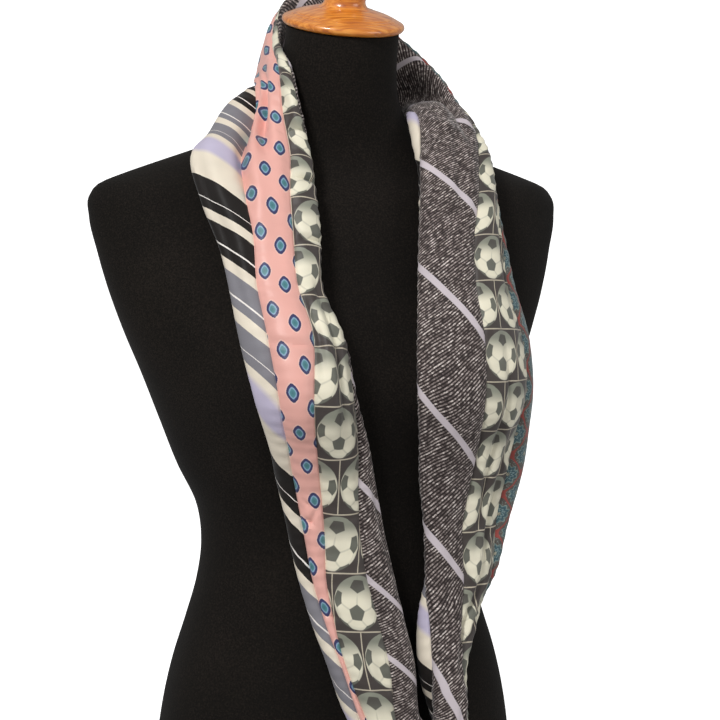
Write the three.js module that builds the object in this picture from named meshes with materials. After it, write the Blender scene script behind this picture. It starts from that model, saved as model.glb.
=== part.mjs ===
// An infinity scarf of opened neckties, worn by a limbless dress form with a turned wooden neck cap.
// Millimetres, +Z up. The wearer faces -Y, and the form stands on its flat base at Z = 0.
import * as THREE from "three";

// The form's axis stands this far behind the middle of the part's box
const AXIS_Y = 17.8;

// Cloth: the wall, the gap at each seam, and how far it stays off the form
const WALL = 1.6;
const SEAM_GAP = 0.36;
const FORM_GAP = 2.4;
const GAP_SOFTNESS = 2.0;

// Each strip of necktie silk bows out between its seams, and the stitching pulls a valley along each seam
const STRIP_BOW = 1.6;
const SEAM_VALLEY = 2.2;
const VALLEY_WIDTH = 5.5;
const SECTION_FULLNESS = 0.8;

// How finely the cloth and the form are faceted
const ROW_SPACING = 22;
const COLUMN_SPACING = 9.5;
const ARC_SAMPLES = 180;
const FORM_SEGMENTS = 32;
const LATHE_SEGMENTS = 28;

// Ball strip: the narrowest width that is cut before it runs out to a point
const BALL_TIP_WIDTH = 2.0;

// The dress form's torso and neck, ring by ring from the base up
const FORM_COLUMNS = ["height", "halfWidth", "front", "back", "centreY", "lean", "squareness"];
const FORM_RINGS = [
  [0, 154, 98, 112, 0, 0, 2.3],
  [40, 157, 101, 116, 0, 0, 2.3],
  [90, 151, 103, 114, 0, 0, 2.3],
  [130, 142, 101, 106, 0, 0, 2.25],
  [165, 131, 97, 97, 0, 0, 2.2],
  [200, 121, 92, 90, 0, 0, 2.15],
  [232, 117, 89, 87, 0, 0, 2.1],
  [265, 121, 89, 88, 0, 0, 2.1],
  [300, 137, 92, 93, 0, 0, 2.15],
  [340, 152, 97, 100, 0, 0, 2.2],
  [380, 167, 100, 104, 0, 0, 2.2],
  [415, 181, 98, 106, 2, 0, 2.15],
  [450, 193, 92, 105, 4, 0, 2.1],
  [480, 201, 84, 102, 6, 0, 2.05],
  [508, 207, 76, 96, 8, 0, 2.0],
  [526, 206, 70, 90, 10, 0, 2.0],
  [536, 197, 65, 84, 11, 1, 2.0],
  [544, 177, 60, 77, 11, 3, 2.0],
  [555, 145, 56, 71, 11, 5, 2.0],
  [566, 112, 53, 64, 9, 7, 2.0],
  [577, 84, 50, 57, 5, 9, 2.0],
  [590, 66, 48, 52, 0, 12, 2.0],
  [608, 54, 47, 49, -7, 14, 2.0],
  [632, 48.5, 47, 48, -15, 16, 2.0],
  [664, 47, 47, 47, -25, 17, 2.0],
];
const RING_HEIGHTS = [
  0, 20, 50, 85, 115, 145, 175, 205, 232, 260, 290, 320, 345, 365, 385, 405, 430, 455, 480, 505, 520,
  534, 544, 552, 561, 570, 580, 591, 606, 630, 664,
];

// The bust: two soft rises on the front of the torso
const BUST = { reach: 30, halfSpread: 76, width: 46, height: 372, above: 62, below: 40, fadeIn: 60 };

// The turned neck cap: radius and height of each point of its profile, above the neck's top
const CAP_GAP = 0.3;
const CAP_PROFILE = [
  [0, 0], [46, 0], [49.5, 1.2], [51, 3.5], [50.4, 6], [47, 8], [38, 12], [26, 15.5], [18.5, 18.5],
  [17, 22], [18, 27], [21, 34], [23, 42], [22.5, 50], [18.5, 57], [11, 61.5], [0, 63],
];

// The scarf's tube is given by stations. Each has a point on its rim edge, which is the collar's top edge, a
// point on its fall edge, half its depth, how far its middle arches toward the side that is inside the
// collar, and the angle at which each strip of silk begins. The angle runs from the rim edge round by that
// same side, in degrees.
const STATION_COLUMNS = [
  "rimX", "rimY", "rimZ", "fallX", "fallY", "fallZ", "depth", "arch", "tweed", "stripe", "outer",
  "ball",
];
const NAPE = [5, 52, 704, 5, 68, 602, 10, 0, 0, 150, 236, 358];
const BOTTOM = [40, -124, 42, 42, -122, 96, 17, 0, 70, 215, 330, 376];
const LEFT_STATIONS = [
  [38, -121, 98, 2, -124, 58, 17, 0, -90, 55, 190, 218],
  [31, -120, 108, -25, -121, 108, 16, -1, -76, 75, 214, 230],
  [30, -116, 149, -41, -115, 156, 16, -2, -71, 85, 213, 223],
  [23, -112, 182, -52, -108, 188, 15, -2, -68, 90, 215, 232],
  [17, -108, 215, -60, -100, 219, 15, -3, -68, 94, 217, 239],
  [7, -107, 257, -67, -96, 259, 15, -3, -61, 98, 220, 252],
  [-1, -111, 299, -77, -99, 301, 15, -3, -48, 104, 224, 260],
  [-9, -117, 332, -89, -115, 336, 15, -5, -30, 106, 226, 263],
  [-19, -124, 365, -101, -127, 368, 15, -11, -15, 108, 227, 267],
  [-27, -121, 412, -108, -112, 413, 15, -10, -8, 110, 233, 286],
  [-41, -109, 451, -113, -95, 451, 15, -4, -3, 112, 241, 294],
  [-39, -94, 489, -119, -79, 489, 15, -2, 0, 114, 249, 296],
  [-38, -80, 521, -128, -62, 523, 15, -3, 0, 116, 253, 301],
  [-37, -64, 552, -130, -40, 556, 14, -2, 0, 120, 257, 308],
  [-41, -60, 578, -111, -10, 574, 13, -1, 0, 124, 257, 309],
  [-47, -56, 604, -86, 19, 599, 11, 0, 0, 130, 256, 310],
  [-49, -38, 634, -67, 42, 606, 9, 0, 0, 137, 251, 312],
  [-49, -8, 657, -56, 56, 602, 8, 0, 0, 143, 245, 317],
  [-42, 20, 684, -46, 66, 600, 8, 0, 0, 147, 240, 328],
  [-24, 42, 702, -26, 69, 600, 8.5, 0, 0, 149, 238, 343],
];
const RIGHT_STATIONS = [
  [34, 52, 693, 34, 66, 602, 9, 0, 2, 150, 238, 362],
  [58, 46, 680, 54, 60, 600, 9, 0, 4, 150, 240, 364],
  [77, 36, 664, 66, 50, 598, 9, 0, 5, 150, 243, 365],
  [92, 22, 646, 71, 34, 595, 9, 0, 6, 150, 246, 366],
  [104, 8, 628, 65, 14, 592, 10, 0, 8, 146, 249, 368],
  [111, -4, 610, 58, -8, 592, 11, 0, 14, 138, 252, 373],
  [117, -20, 592, 54, -38, 590, 12, 0, 28, 136, 256, 374],
  [121, -34, 574, 52, -56, 573, 13, 0, 40, 144, 260, 373],
  [123, -48, 556, 52, -64, 555, 14, 0, 56, 168, 266, 373],
  [122, -68, 522, 47, -81, 521, 15, 1, 70, 190, 275, 376],
  [123, -79, 489, 42, -94, 489, 15, 2, 84, 198, 280, 386],
  [127, -88, 447, 36, -109, 449, 15, 8, 94, 200, 285, 400],
  [140, -86, 405, 31, -123, 411, 15, 16, 101, 202, 288, 408],
  [146, -80, 363, 30, -128, 364, 15, 18, 105, 202, 290, 411],
  [143, -80, 330, 35, -118, 330, 15, 8, 101, 202, 290, 411],
  [139, -79, 296, 39, -108, 296, 15, 3, 102, 203, 290, 411],
  [127, -80, 256, 45, -104, 254, 15, 0, 107, 203, 290, 408],
  [114, -86, 214, 45, -107, 213, 16, 0, 99, 200, 290, 396],
  [93, -95, 178, 40, -113, 181, 17, 0, 82, 168, 288, 374],
  [76, -110, 145, 38, -120, 149, 19, 0, 50, 152, 290, 352],
  [73, -120, 108, 46, -124, 110, 20, 0, 33, 192, 292, 345],
  [68, -125, 64, 46, -124, 99, 18, 0, 50, 205, 310, 360],
];

// Creases in the silk, each from one station and angle to another. The depth is inward.
const FOLD_COLUMNS = ["fromStation", "fromAngle", "toStation", "toAngle", "depth", "width"];
const LEFT_FOLDS = {
  pocketAtTheShoulder: [12.4, 250, 17.0, 262, 8, 9],
  pleatDownTheDots: [13.2, 284, 18.5, 288, 5, 8],
  pleatBelowTheShoulder: [10.5, 270, 13.6, 280, 2.5, 9],
  creaseByTheBalls: [6.5, 318, 10.2, 330, 3.5, 9],
  puckerLow: [4.2, 262, 7.2, 256, 3, 8],
  troughBehind: [3, 60, 9, 50, 4, 12],
  collarTuck: [16, 215, 20.4, 205, 4, 12],
};
const RIGHT_FOLDS = {
  creaseOverTheShoulder: [4.5, 60, 8.6, 72, 6, 10],
  creaseDownTheTweed: [8.6, 120, 12.5, 128, 2, 12],
  pleatInTheBalls: [13.5, 62, 19.5, 58, 4, 9],
  pleatLow: [16.5, 120, 20.5, 105, 3, 10],
  troughBehind: [10, 250, 17, 245, 4, 13],
  collarTuck: [0.6, 205, 5, 215, 4, 12],
};

const radians = THREE.MathUtils.degToRad;

// Returns a function that gives a table's columns at any key, through every row and smooth between them.
function smoothTable(names, keys, rows) {
  const slopes = rows.map((row, i) => {
    const before = Math.max(i - 1, 0);
    const after = Math.min(i + 1, rows.length - 1);
    return row.map((_, c) => {
      if (before === i || after === i) {
        return (rows[after][c] - rows[before][c]) / (keys[after] - keys[before]);
      }
      const backward = (row[c] - rows[before][c]) / (keys[i] - keys[before]);
      const forward = (rows[after][c] - row[c]) / (keys[after] - keys[i]);
      const share = (keys[i] - keys[before]) / (keys[after] - keys[before]);
      return backward * (1 - share) + forward * share;
    });
  });
  return (wanted) => {
    const key = THREE.MathUtils.clamp(wanted, keys[0], keys[keys.length - 1]);
    let i = 0;
    while (i < keys.length - 2 && keys[i + 1] < key) {
      i += 1;
    }
    const span = keys[i + 1] - keys[i];
    const t = (key - keys[i]) / span;
    const found = {};
    names.forEach((name, c) => {
      found[name] =
        (1 + 2 * t) * (1 - t) ** 2 * rows[i][c] +
        t * (1 - t) ** 2 * span * slopes[i][c] +
        t * t * (3 - 2 * t) * rows[i + 1][c] +
        t * t * (t - 1) * span * slopes[i + 1][c];
    });
    return found;
  };
}

const ringAt = smoothTable(
  FORM_COLUMNS,
  FORM_RINGS.map((row) => row[0]),
  FORM_RINGS,
);

// How far the bust stands out of a ring at x and y, where y is measured in the ring's own plane.
function bustAt(x, y, height) {
  const spread = (Math.abs(x) - BUST.halfSpread) / BUST.width;
  const rise = (height - BUST.height) / (height > BUST.height ? BUST.above : BUST.below);
  const fade = THREE.MathUtils.clamp(-y / BUST.fadeIn, 0, 1);
  return BUST.reach * Math.exp(-spread * spread - rise * rise) * fade;
}

// A ring's radius in the direction (c, s): a superellipse with its own front and back depth.
function ringRadius(ring, c, s) {
  const depth = s > 0 ? ring.back : ring.front;
  const n = ring.squareness;
  return (Math.abs(c / ring.halfWidth) ** n + Math.abs(s / depth) ** n) ** (-1 / n);
}

function formPoint(height, angle) {
  const ring = ringAt(height);
  const radius = ringRadius(ring, Math.cos(angle), Math.sin(angle));
  const x = radius * Math.cos(angle);
  const flat = radius * Math.sin(angle);
  const y = flat - bustAt(x, flat, height);
  const lean = radians(ring.lean);
  return new THREE.Vector3(x, ring.centreY + y * Math.cos(lean), height + y * Math.sin(lean));
}

// How far a point is outside its ring, measured in the ring's plane.
function formLevel(p) {
  let height = p.z;
  let ring = ringAt(height);
  let y = p.y - ring.centreY;
  for (let pass = 0; pass < 6; pass += 1) {
    const lean = radians(ring.lean);
    y = (p.y - ring.centreY) / Math.cos(lean);
    height = p.z - y * Math.sin(lean);
    ring = ringAt(height);
  }
  const flat = y + bustAt(p.x, y, height);
  const away = Math.hypot(p.x, flat) + 1e-9;
  return away - ringRadius(ring, p.x / away, flat / away);
}

// Moves a point out of the form, or away from it, so that it keeps the gap with no sudden step.
function keepClearOfForm(p) {
  const step = 0.5;
  for (let pass = 0; pass < 3; pass += 1) {
    const out = new THREE.Vector3(
      formLevel(p.clone().setX(p.x + step)) - formLevel(p.clone().setX(p.x - step)),
      formLevel(p.clone().setY(p.y + step)) - formLevel(p.clone().setY(p.y - step)),
      formLevel(p.clone().setZ(p.z + step)) - formLevel(p.clone().setZ(p.z - step)),
    ).divideScalar(2 * step);
    const steepness = out.length();
    const distance = formLevel(p) / steepness;
    if (distance > FORM_GAP + 8 * GAP_SOFTNESS) {
      return p;
    }
    const push = pass === 0
      ? GAP_SOFTNESS * Math.log1p(Math.exp((FORM_GAP - distance) / GAP_SOFTNESS))
      : Math.max(FORM_GAP - distance, 0);
    p.addScaledVector(out, push / steepness);
  }
  return p;
}

// A station seen from the other half of the loop, where the rim and fall edges change places.
function swapEdges(station, turn) {
  const [rimX, rimY, rimZ, fallX, fallY, fallZ, depth, arch, ...angles] = station;
  return [fallX, fallY, fallZ, rimX, rimY, rimZ, depth, -arch, ...angles.map((a) => a + turn)];
}

function edgesOf(station) {
  return {
    rim: new THREE.Vector3(station[0], station[1], station[2]),
    fall: new THREE.Vector3(station[3], station[4], station[5]),
  };
}

function centreOf(station) {
  const { rim, fall } = edgesOf(station);
  return rim.add(fall).multiplyScalar(0.5);
}

// One half of the loop. Its stations have one more at each end, taken from the other half, so that the two
// halves meet with the same direction.
function makeHalf(before, stations, after, folds) {
  const all = [before, ...stations, after];
  const keys = [0];
  for (let i = 1; i < all.length; i += 1) {
    keys.push(keys[i - 1] + centreOf(all[i]).distanceTo(centreOf(all[i - 1])));
  }
  const at = smoothTable(STATION_COLUMNS, keys, all);
  const keyOfStation = (number) => {
    const whole = Math.min(Math.floor(number), stations.length - 2);
    return THREE.MathUtils.lerp(keys[whole + 1], keys[whole + 2], number - whole);
  };
  const rowKeys = [keys[1]];
  for (let i = 0; i < stations.length - 1; i += 1) {
    const here = edgesOf(stations[i]);
    const next = edgesOf(stations[i + 1]);
    const travel = Math.max(here.rim.distanceTo(next.rim), here.fall.distanceTo(next.fall));
    const steps = Math.max(1, Math.round(travel / ROW_SPACING));
    for (let k = 1; k <= steps; k += 1) {
      rowKeys.push(THREE.MathUtils.lerp(keys[i + 1], keys[i + 2], k / steps));
    }
  }
  const foldList = Object.values(folds).map((row) => {
    const fold = Object.fromEntries(FOLD_COLUMNS.map((name, c) => [name, row[c]]));
    return { ...fold, from: keyOfStation(fold.fromStation), to: keyOfStation(fold.toStation) };
  });
  const rows = rowKeys.map((key, i) => makeRow(at, key, i, rowKeys.length, foldList));
  return { rows };
}

function middleAt(at, key) {
  const s = at(key);
  return new THREE.Vector3(s.rimX + s.fallX, s.rimY + s.fallY, s.rimZ + s.fallZ).multiplyScalar(0.5);
}

// One cross-section of the tube: its frame, its sizes and its seams, and the arc length round it.
function makeRow(at, key, index, count, foldList) {
  const s = at(key);
  const rim = new THREE.Vector3(s.rimX, s.rimY, s.rimZ);
  const fall = new THREE.Vector3(s.fallX, s.fallY, s.fallZ);
  const along = middleAt(at, key + 1).sub(middleAt(at, key - 1)).normalize();
  const toRim = rim.clone().sub(fall).normalize();
  const inward = along.clone().cross(toRim).normalize();
  const row = {
    key,
    along,
    toRim,
    inward,
    centre: rim.clone().add(fall).multiplyScalar(0.5),
    half: rim.distanceTo(fall) / 2,
    depth: s.depth,
    arch: s.arch,
    starts: [s.tweed, s.stripe, s.outer, s.ball, s.tweed + 360],
    trim: index === 0 ? SEAM_GAP / 2 : index === count - 1 ? -SEAM_GAP / 2 : 0,
    foldList,
  };
  row.arc = [0];
  for (let k = 1; k <= ARC_SAMPLES; k += 1) {
    const from = s.tweed + (360 * (k - 1)) / ARC_SAMPLES;
    const to = s.tweed + (360 * k) / ARC_SAMPLES;
    row.arc.push(row.arc[k - 1] + plainPoint(row, to).distanceTo(plainPoint(row, from)));
  }
  return row;
}

// A point of the smooth cross-section, before its seams and creases.
function plainPoint(row, angle) {
  const a = radians(angle);
  const bulge = Math.sign(Math.sin(a)) * Math.abs(Math.sin(a)) ** SECTION_FULLNESS;
  return row.centre
    .clone()
    .addScaledVector(row.toRim, row.half * Math.cos(a))
    .addScaledVector(row.inward, row.depth * bulge + row.arch * Math.sin(a) ** 2);
}

function outwardAt(row, angle) {
  const a = radians(angle);
  return new THREE.Vector3()
    .addScaledVector(row.toRim, row.depth * Math.cos(a))
    .addScaledVector(row.inward, row.half * Math.sin(a))
    .normalize();
}

function arcAt(row, angle) {
  const place = ((angle - row.starts[0]) / 360) * ARC_SAMPLES;
  const k = Math.min(Math.floor(place), ARC_SAMPLES - 1);
  return THREE.MathUtils.lerp(row.arc[k], row.arc[k + 1], place - k);
}

function angleAt(row, arc) {
  let k = 0;
  while (k < ARC_SAMPLES - 1 && row.arc[k + 1] < arc) {
    k += 1;
  }
  const part = (arc - row.arc[k]) / (row.arc[k + 1] - row.arc[k]);
  return row.starts[0] + (360 * (k + part)) / ARC_SAMPLES;
}

// The creases' depth at an angle: each fades in and out along its length.
function foldDepth(row, angle) {
  let depth = 0;
  for (const fold of row.foldList) {
    const t = (row.key - fold.from) / (fold.to - fold.from);
    if (t > 0 && t < 1) {
      const middle = THREE.MathUtils.lerp(fold.fromAngle, fold.toAngle, t);
      const turn = THREE.MathUtils.euclideanModulo(angle - middle + 180, 360) - 180;
      const across = (Math.abs(turn) / 360) * row.arc[ARC_SAMPLES];
      depth += fold.depth * Math.sin(Math.PI * t) * Math.exp(-((across / fold.width) ** 2));
    }
  }
  return depth;
}

// A point of the cloth's outer face, and the point under it on its inner face.
function clothPoints(row, angle, fromSeam, toSeam) {
  const seamAngle = row.starts.find((start) => Math.abs(arcAt(row, start) - arcAt(row, angle)) < SEAM_GAP);
  const outward = outwardAt(row, seamAngle ?? angle);
  const share = fromSeam / (fromSeam + toSeam);
  const narrow = Math.min(1, (fromSeam + toSeam) / (2 * VALLEY_WIDTH));
  const valley = Math.exp(-((fromSeam / VALLEY_WIDTH) ** 2)) + Math.exp(-((toSeam / VALLEY_WIDTH) ** 2));
  const relief = STRIP_BOW * narrow * Math.sin(Math.PI * share) - SEAM_VALLEY * Math.min(valley, 1);
  const outer = plainPoint(row, angle).addScaledVector(outward, relief - foldDepth(row, angle));
  keepClearOfForm(outer);
  outer.addScaledVector(row.along, row.trim);
  const inner = outer.clone().addScaledVector(outward, -WALL);
  return { outer, inner };
}

// A closed solid from a grid of points on the outer face and the matching grid on the inner face.
function panelGeometry(grid) {
  const rows = grid.length;
  const columns = grid[0].length;
  const positions = [];
  for (const face of ["outer", "inner"]) {
    for (const row of grid) {
      for (const pair of row) {
        positions.push(...pair[face].toArray());
      }
    }
  }
  const outer = (i, j) => i * columns + j;
  const inner = (i, j) => rows * columns + outer(i, j);
  const indices = [];
  const quad = (a, b, c, d) => indices.push(a, b, c, a, c, d);
  for (let i = 0; i < rows - 1; i += 1) {
    for (let j = 0; j < columns - 1; j += 1) {
      quad(outer(i, j), outer(i, j + 1), outer(i + 1, j + 1), outer(i + 1, j));
      quad(inner(i, j), inner(i + 1, j), inner(i + 1, j + 1), inner(i, j + 1));
    }
    quad(outer(i, 0), outer(i + 1, 0), inner(i + 1, 0), inner(i, 0));
    const last = columns - 1;
    quad(outer(i, last), inner(i, last), inner(i + 1, last), outer(i + 1, last));
  }
  for (let j = 0; j < columns - 1; j += 1) {
    quad(outer(0, j), inner(0, j), inner(0, j + 1), outer(0, j + 1));
    const last = rows - 1;
    quad(outer(last, j), outer(last, j + 1), inner(last, j + 1), inner(last, j));
  }
  return finish(new THREE.BufferGeometry(), positions, indices);
}

function finish(geometry, positions, indices) {
  geometry.setAttribute("position", new THREE.Float32BufferAttribute(positions, 3));
  geometry.setIndex(indices);
  geometry.computeVertexNormals();
  return geometry;
}

// One strip of silk along half of the loop, between two seams.
function stripGeometry(half, strip) {
  const wide = (row) => arcAt(row, row.starts[strip + 1]) - arcAt(row, row.starts[strip]) - SEAM_GAP;
  const first = half.rows.findIndex((row) => wide(row) >= BALL_TIP_WIDTH && onwardIsWide(half, row, wide));
  const used = half.rows.slice(first).filter((row) => wide(row) >= BALL_TIP_WIDTH);
  const widest = Math.max(...used.map(wide));
  const columns = Math.max(3, Math.round(widest / COLUMN_SPACING) + 1);
  const grid = used.map((row) => {
    const from = arcAt(row, row.starts[strip]);
    const to = arcAt(row, row.starts[strip + 1]);
    return Array.from({ length: columns }, (_, j) => {
      const arc = THREE.MathUtils.lerp(from + SEAM_GAP / 2, to - SEAM_GAP / 2, j / (columns - 1));
      return clothPoints(row, angleAt(row, arc), arc - from, to - arc);
    });
  });
  return panelGeometry(grid);
}

// Whether the strip stays wide enough on the next rows too.
function onwardIsWide(half, row, wide) {
  const i = half.rows.indexOf(row);
  return half.rows.slice(i, i + 4).every((next) => wide(next) >= BALL_TIP_WIDTH);
}

function formGeometry() {
  const positions = [];
  const indices = [];
  for (const height of RING_HEIGHTS) {
    for (let k = 0; k < FORM_SEGMENTS; k += 1) {
      positions.push(...formPoint(height, (2 * Math.PI * k) / FORM_SEGMENTS).toArray());
    }
  }
  const index = (i, k) => i * FORM_SEGMENTS + (k % FORM_SEGMENTS);
  for (let i = 0; i < RING_HEIGHTS.length - 1; i += 1) {
    for (let k = 0; k < FORM_SEGMENTS; k += 1) {
      indices.push(index(i, k), index(i, k + 1), index(i + 1, k + 1));
      indices.push(index(i, k), index(i + 1, k + 1), index(i + 1, k));
    }
  }
  const top = RING_HEIGHTS.length - 1;
  const neck = ringAt(RING_HEIGHTS[top]);
  positions.push(0, 0, 0, 0, neck.centreY, RING_HEIGHTS[top]);
  const baseCentre = index(top, FORM_SEGMENTS - 1) + 1;
  for (let k = 0; k < FORM_SEGMENTS; k += 1) {
    indices.push(baseCentre, index(0, k + 1), index(0, k));
    indices.push(baseCentre + 1, index(top, k), index(top, k + 1));
  }
  return finish(new THREE.BufferGeometry(), positions, indices);
}

function capGeometry() {
  const profile = CAP_PROFILE.map(([radius, height]) => new THREE.Vector2(radius, height));
  return new THREE.LatheGeometry(profile, LATHE_SEGMENTS).rotateX(Math.PI / 2);
}

function addMesh(parent, name, geometry, colour, roughness) {
  const material = new THREE.MeshStandardMaterial({ color: colour, roughness, metalness: 0 });
  const mesh = new THREE.Mesh(geometry, material);
  mesh.name = name;
  parent.add(mesh);
  return mesh;
}

function addForm(parent) {
  addMesh(parent, "form_body", formGeometry(), "#1b1815", 0.9);
  const neck = ringAt(RING_HEIGHTS[RING_HEIGHTS.length - 1]);
  const seat = new THREE.Group();
  seat.position.set(0, neck.centreY, RING_HEIGHTS[RING_HEIGHTS.length - 1]);
  seat.rotation.x = radians(neck.lean);
  addMesh(seat, "neck_cap", capGeometry(), "#c0702a", 0.3).position.z = CAP_GAP;
  parent.add(seat);
}

function addScarf(parent) {
  const bottomOnTheLeft = swapEdges(BOTTOM, -180);
  const left = makeHalf(
    swapEdges(RIGHT_STATIONS[RIGHT_STATIONS.length - 1], -180),
    [bottomOnTheLeft, ...LEFT_STATIONS, NAPE],
    RIGHT_STATIONS[0],
    LEFT_FOLDS,
  );
  const right = makeHalf(
    LEFT_STATIONS[LEFT_STATIONS.length - 1],
    [NAPE, ...RIGHT_STATIONS, BOTTOM],
    swapEdges(LEFT_STATIONS[0], 180),
    RIGHT_FOLDS,
  );
  addMesh(parent, "tweed_left", stripGeometry(left, 0), "#433e44", 0.8);
  addMesh(parent, "stripe_left", stripGeometry(left, 1), "#8d8b90", 0.5);
  addMesh(parent, "dot_left", stripGeometry(left, 2), "#f0b8ac", 0.5);
  addMesh(parent, "ball_left", stripGeometry(left, 3), "#8a8778", 0.6);
  addMesh(parent, "tweed_right", stripGeometry(right, 0), "#433e44", 0.8);
  addMesh(parent, "stripe_right", stripGeometry(right, 1), "#8d8b90", 0.5);
  addMesh(parent, "medallion_right", stripGeometry(right, 2), "#8a5a52", 0.5);
  addMesh(parent, "ball_right", stripGeometry(right, 3), "#8a8778", 0.6);
}

const group = new THREE.Group();
group.position.y = AXIS_Y;
addForm(group);
addScarf(group);
const part = new THREE.Group();
part.add(group);

export default part;
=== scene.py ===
"""The looks of an infinity scarf of opened neckties, worn by a limbless black dress form.

Sizes are in millimetres, in the form's own axes: +Z up from the flat base, the front facing -Y, and the
form's upright axis at X = Y = 0. A mesh is written in metres and moved back by AXIS_Y, which puts it in the
frame of the CAD model.
"""

import logging
import math
from dataclasses import dataclass, field, replace
from enum import Enum
from itertools import combinations
from typing import Any, Sequence

import bpy
import numpy as np
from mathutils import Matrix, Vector


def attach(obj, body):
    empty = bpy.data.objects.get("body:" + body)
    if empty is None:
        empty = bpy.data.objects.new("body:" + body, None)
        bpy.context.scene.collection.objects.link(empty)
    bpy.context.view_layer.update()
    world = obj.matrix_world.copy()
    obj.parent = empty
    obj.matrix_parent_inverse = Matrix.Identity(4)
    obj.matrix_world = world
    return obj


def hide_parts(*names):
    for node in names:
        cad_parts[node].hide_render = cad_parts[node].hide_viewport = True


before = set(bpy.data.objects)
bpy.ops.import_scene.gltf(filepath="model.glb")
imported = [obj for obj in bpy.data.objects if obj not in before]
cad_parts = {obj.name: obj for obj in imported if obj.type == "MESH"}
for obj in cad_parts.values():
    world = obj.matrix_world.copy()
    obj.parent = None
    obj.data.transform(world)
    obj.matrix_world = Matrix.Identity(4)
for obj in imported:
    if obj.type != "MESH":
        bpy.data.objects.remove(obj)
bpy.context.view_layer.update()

log = logging.getLogger("scarf")

MM = 0.001
AXIS_Y = 17.8

# The cloth: its wall, how far its outer face stays off the form, and how softly that gap is kept
CLOTH_WALL = 0.9
FORM_GAP = 2.4
GAP_SOFTNESS = 2.0

# Each strip bows out between its seams, and the stitching pulls a valley along each seam
STRIP_BOW = 1.6
SEAM_VALLEY = 2.2
VALLEY_WIDTH = 5.5
SECTION_FULLNESS = 0.8
END_SEAM_VALLEY = 1.0
END_SEAM_WIDTH = 3.0
STITCH_GROOVE = 1.0
STITCH_WIDTH = 1.0

# Slow waves over a strip: their lengths along and across and their height, how they sway, and how much they
# differ from strip to strip and side to side
LONG_WAVE = (23.0, 31.0, 0.5)
SHORT_WAVE = (11.5, 17.0, 0.28)
WAVE_SWAY = (1.4, 47.0)
STRIP_PHASE = 1.7
RIGHT_PHASE = 0.9
SHORT_PHASE = 2.3

# The puckers that stitches pull beside a seam: their spacing, sway, height and reach
PUCKER_SPACING = 11.0
PUCKER_SWAY = (2.0, 19.0)
PUCKER_HEIGHT = 0.45
PUCKER_REACH = 4.0

# A fine crease fades at its ends as a sine to this power
CREASE_ENDS = 0.7

# How far apart a half's rows are laid, past any strip's length, to be read all at once
ROWS_APART = 1e5

# How finely the cloth is meshed: the spacing of its rows and columns, how much closer the columns are at the
# seams, the samples round a section, and how narrow and how long a strip's tip has to be to count
ROW_SPACING = 2.4
COLUMN_SPACING = 1.7
EDGE_CLOSENESS = 0.7
ARC_SAMPLES = 360
TIP_WIDTH = 0.9
TIP_ROWS = 20

# The dress form's rings: height, half width, front, back, centre Y, lean in degrees and squareness
FORM_RINGS = (
    (0, 154, 98, 112, 0, 0, 2.3),
    (40, 157, 101, 116, 0, 0, 2.3),
    (90, 151, 103, 114, 0, 0, 2.3),
    (130, 142, 101, 106, 0, 0, 2.25),
    (165, 131, 97, 97, 0, 0, 2.2),
    (200, 121, 92, 90, 0, 0, 2.15),
    (232, 117, 89, 87, 0, 0, 2.1),
    (265, 121, 89, 88, 0, 0, 2.1),
    (300, 137, 92, 93, 0, 0, 2.15),
    (340, 152, 97, 100, 0, 0, 2.2),
    (380, 167, 100, 104, 0, 0, 2.2),
    (415, 181, 98, 106, 2, 0, 2.15),
    (450, 193, 92, 105, 4, 0, 2.1),
    (480, 201, 84, 102, 6, 0, 2.05),
    (508, 207, 76, 96, 8, 0, 2.0),
    (526, 206, 70, 90, 10, 0, 2.0),
    (536, 197, 65, 84, 11, 1, 2.0),
    (544, 177, 60, 77, 11, 3, 2.0),
    (555, 145, 56, 71, 11, 5, 2.0),
    (566, 112, 53, 64, 9, 7, 2.0),
    (577, 84, 50, 57, 5, 9, 2.0),
    (590, 66, 48, 52, 0, 12, 2.0),
    (608, 54, 47, 49, -7, 14, 2.0),
    (632, 48.5, 47, 48, -15, 16, 2.0),
    (664, 47, 47, 47, -25, 17, 2.0),
)

# A ring's columns after its height
HALF_WIDTH, FRONT, BACK, CENTRE_Y, LEAN, SQUARENESS = range(6)

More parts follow.
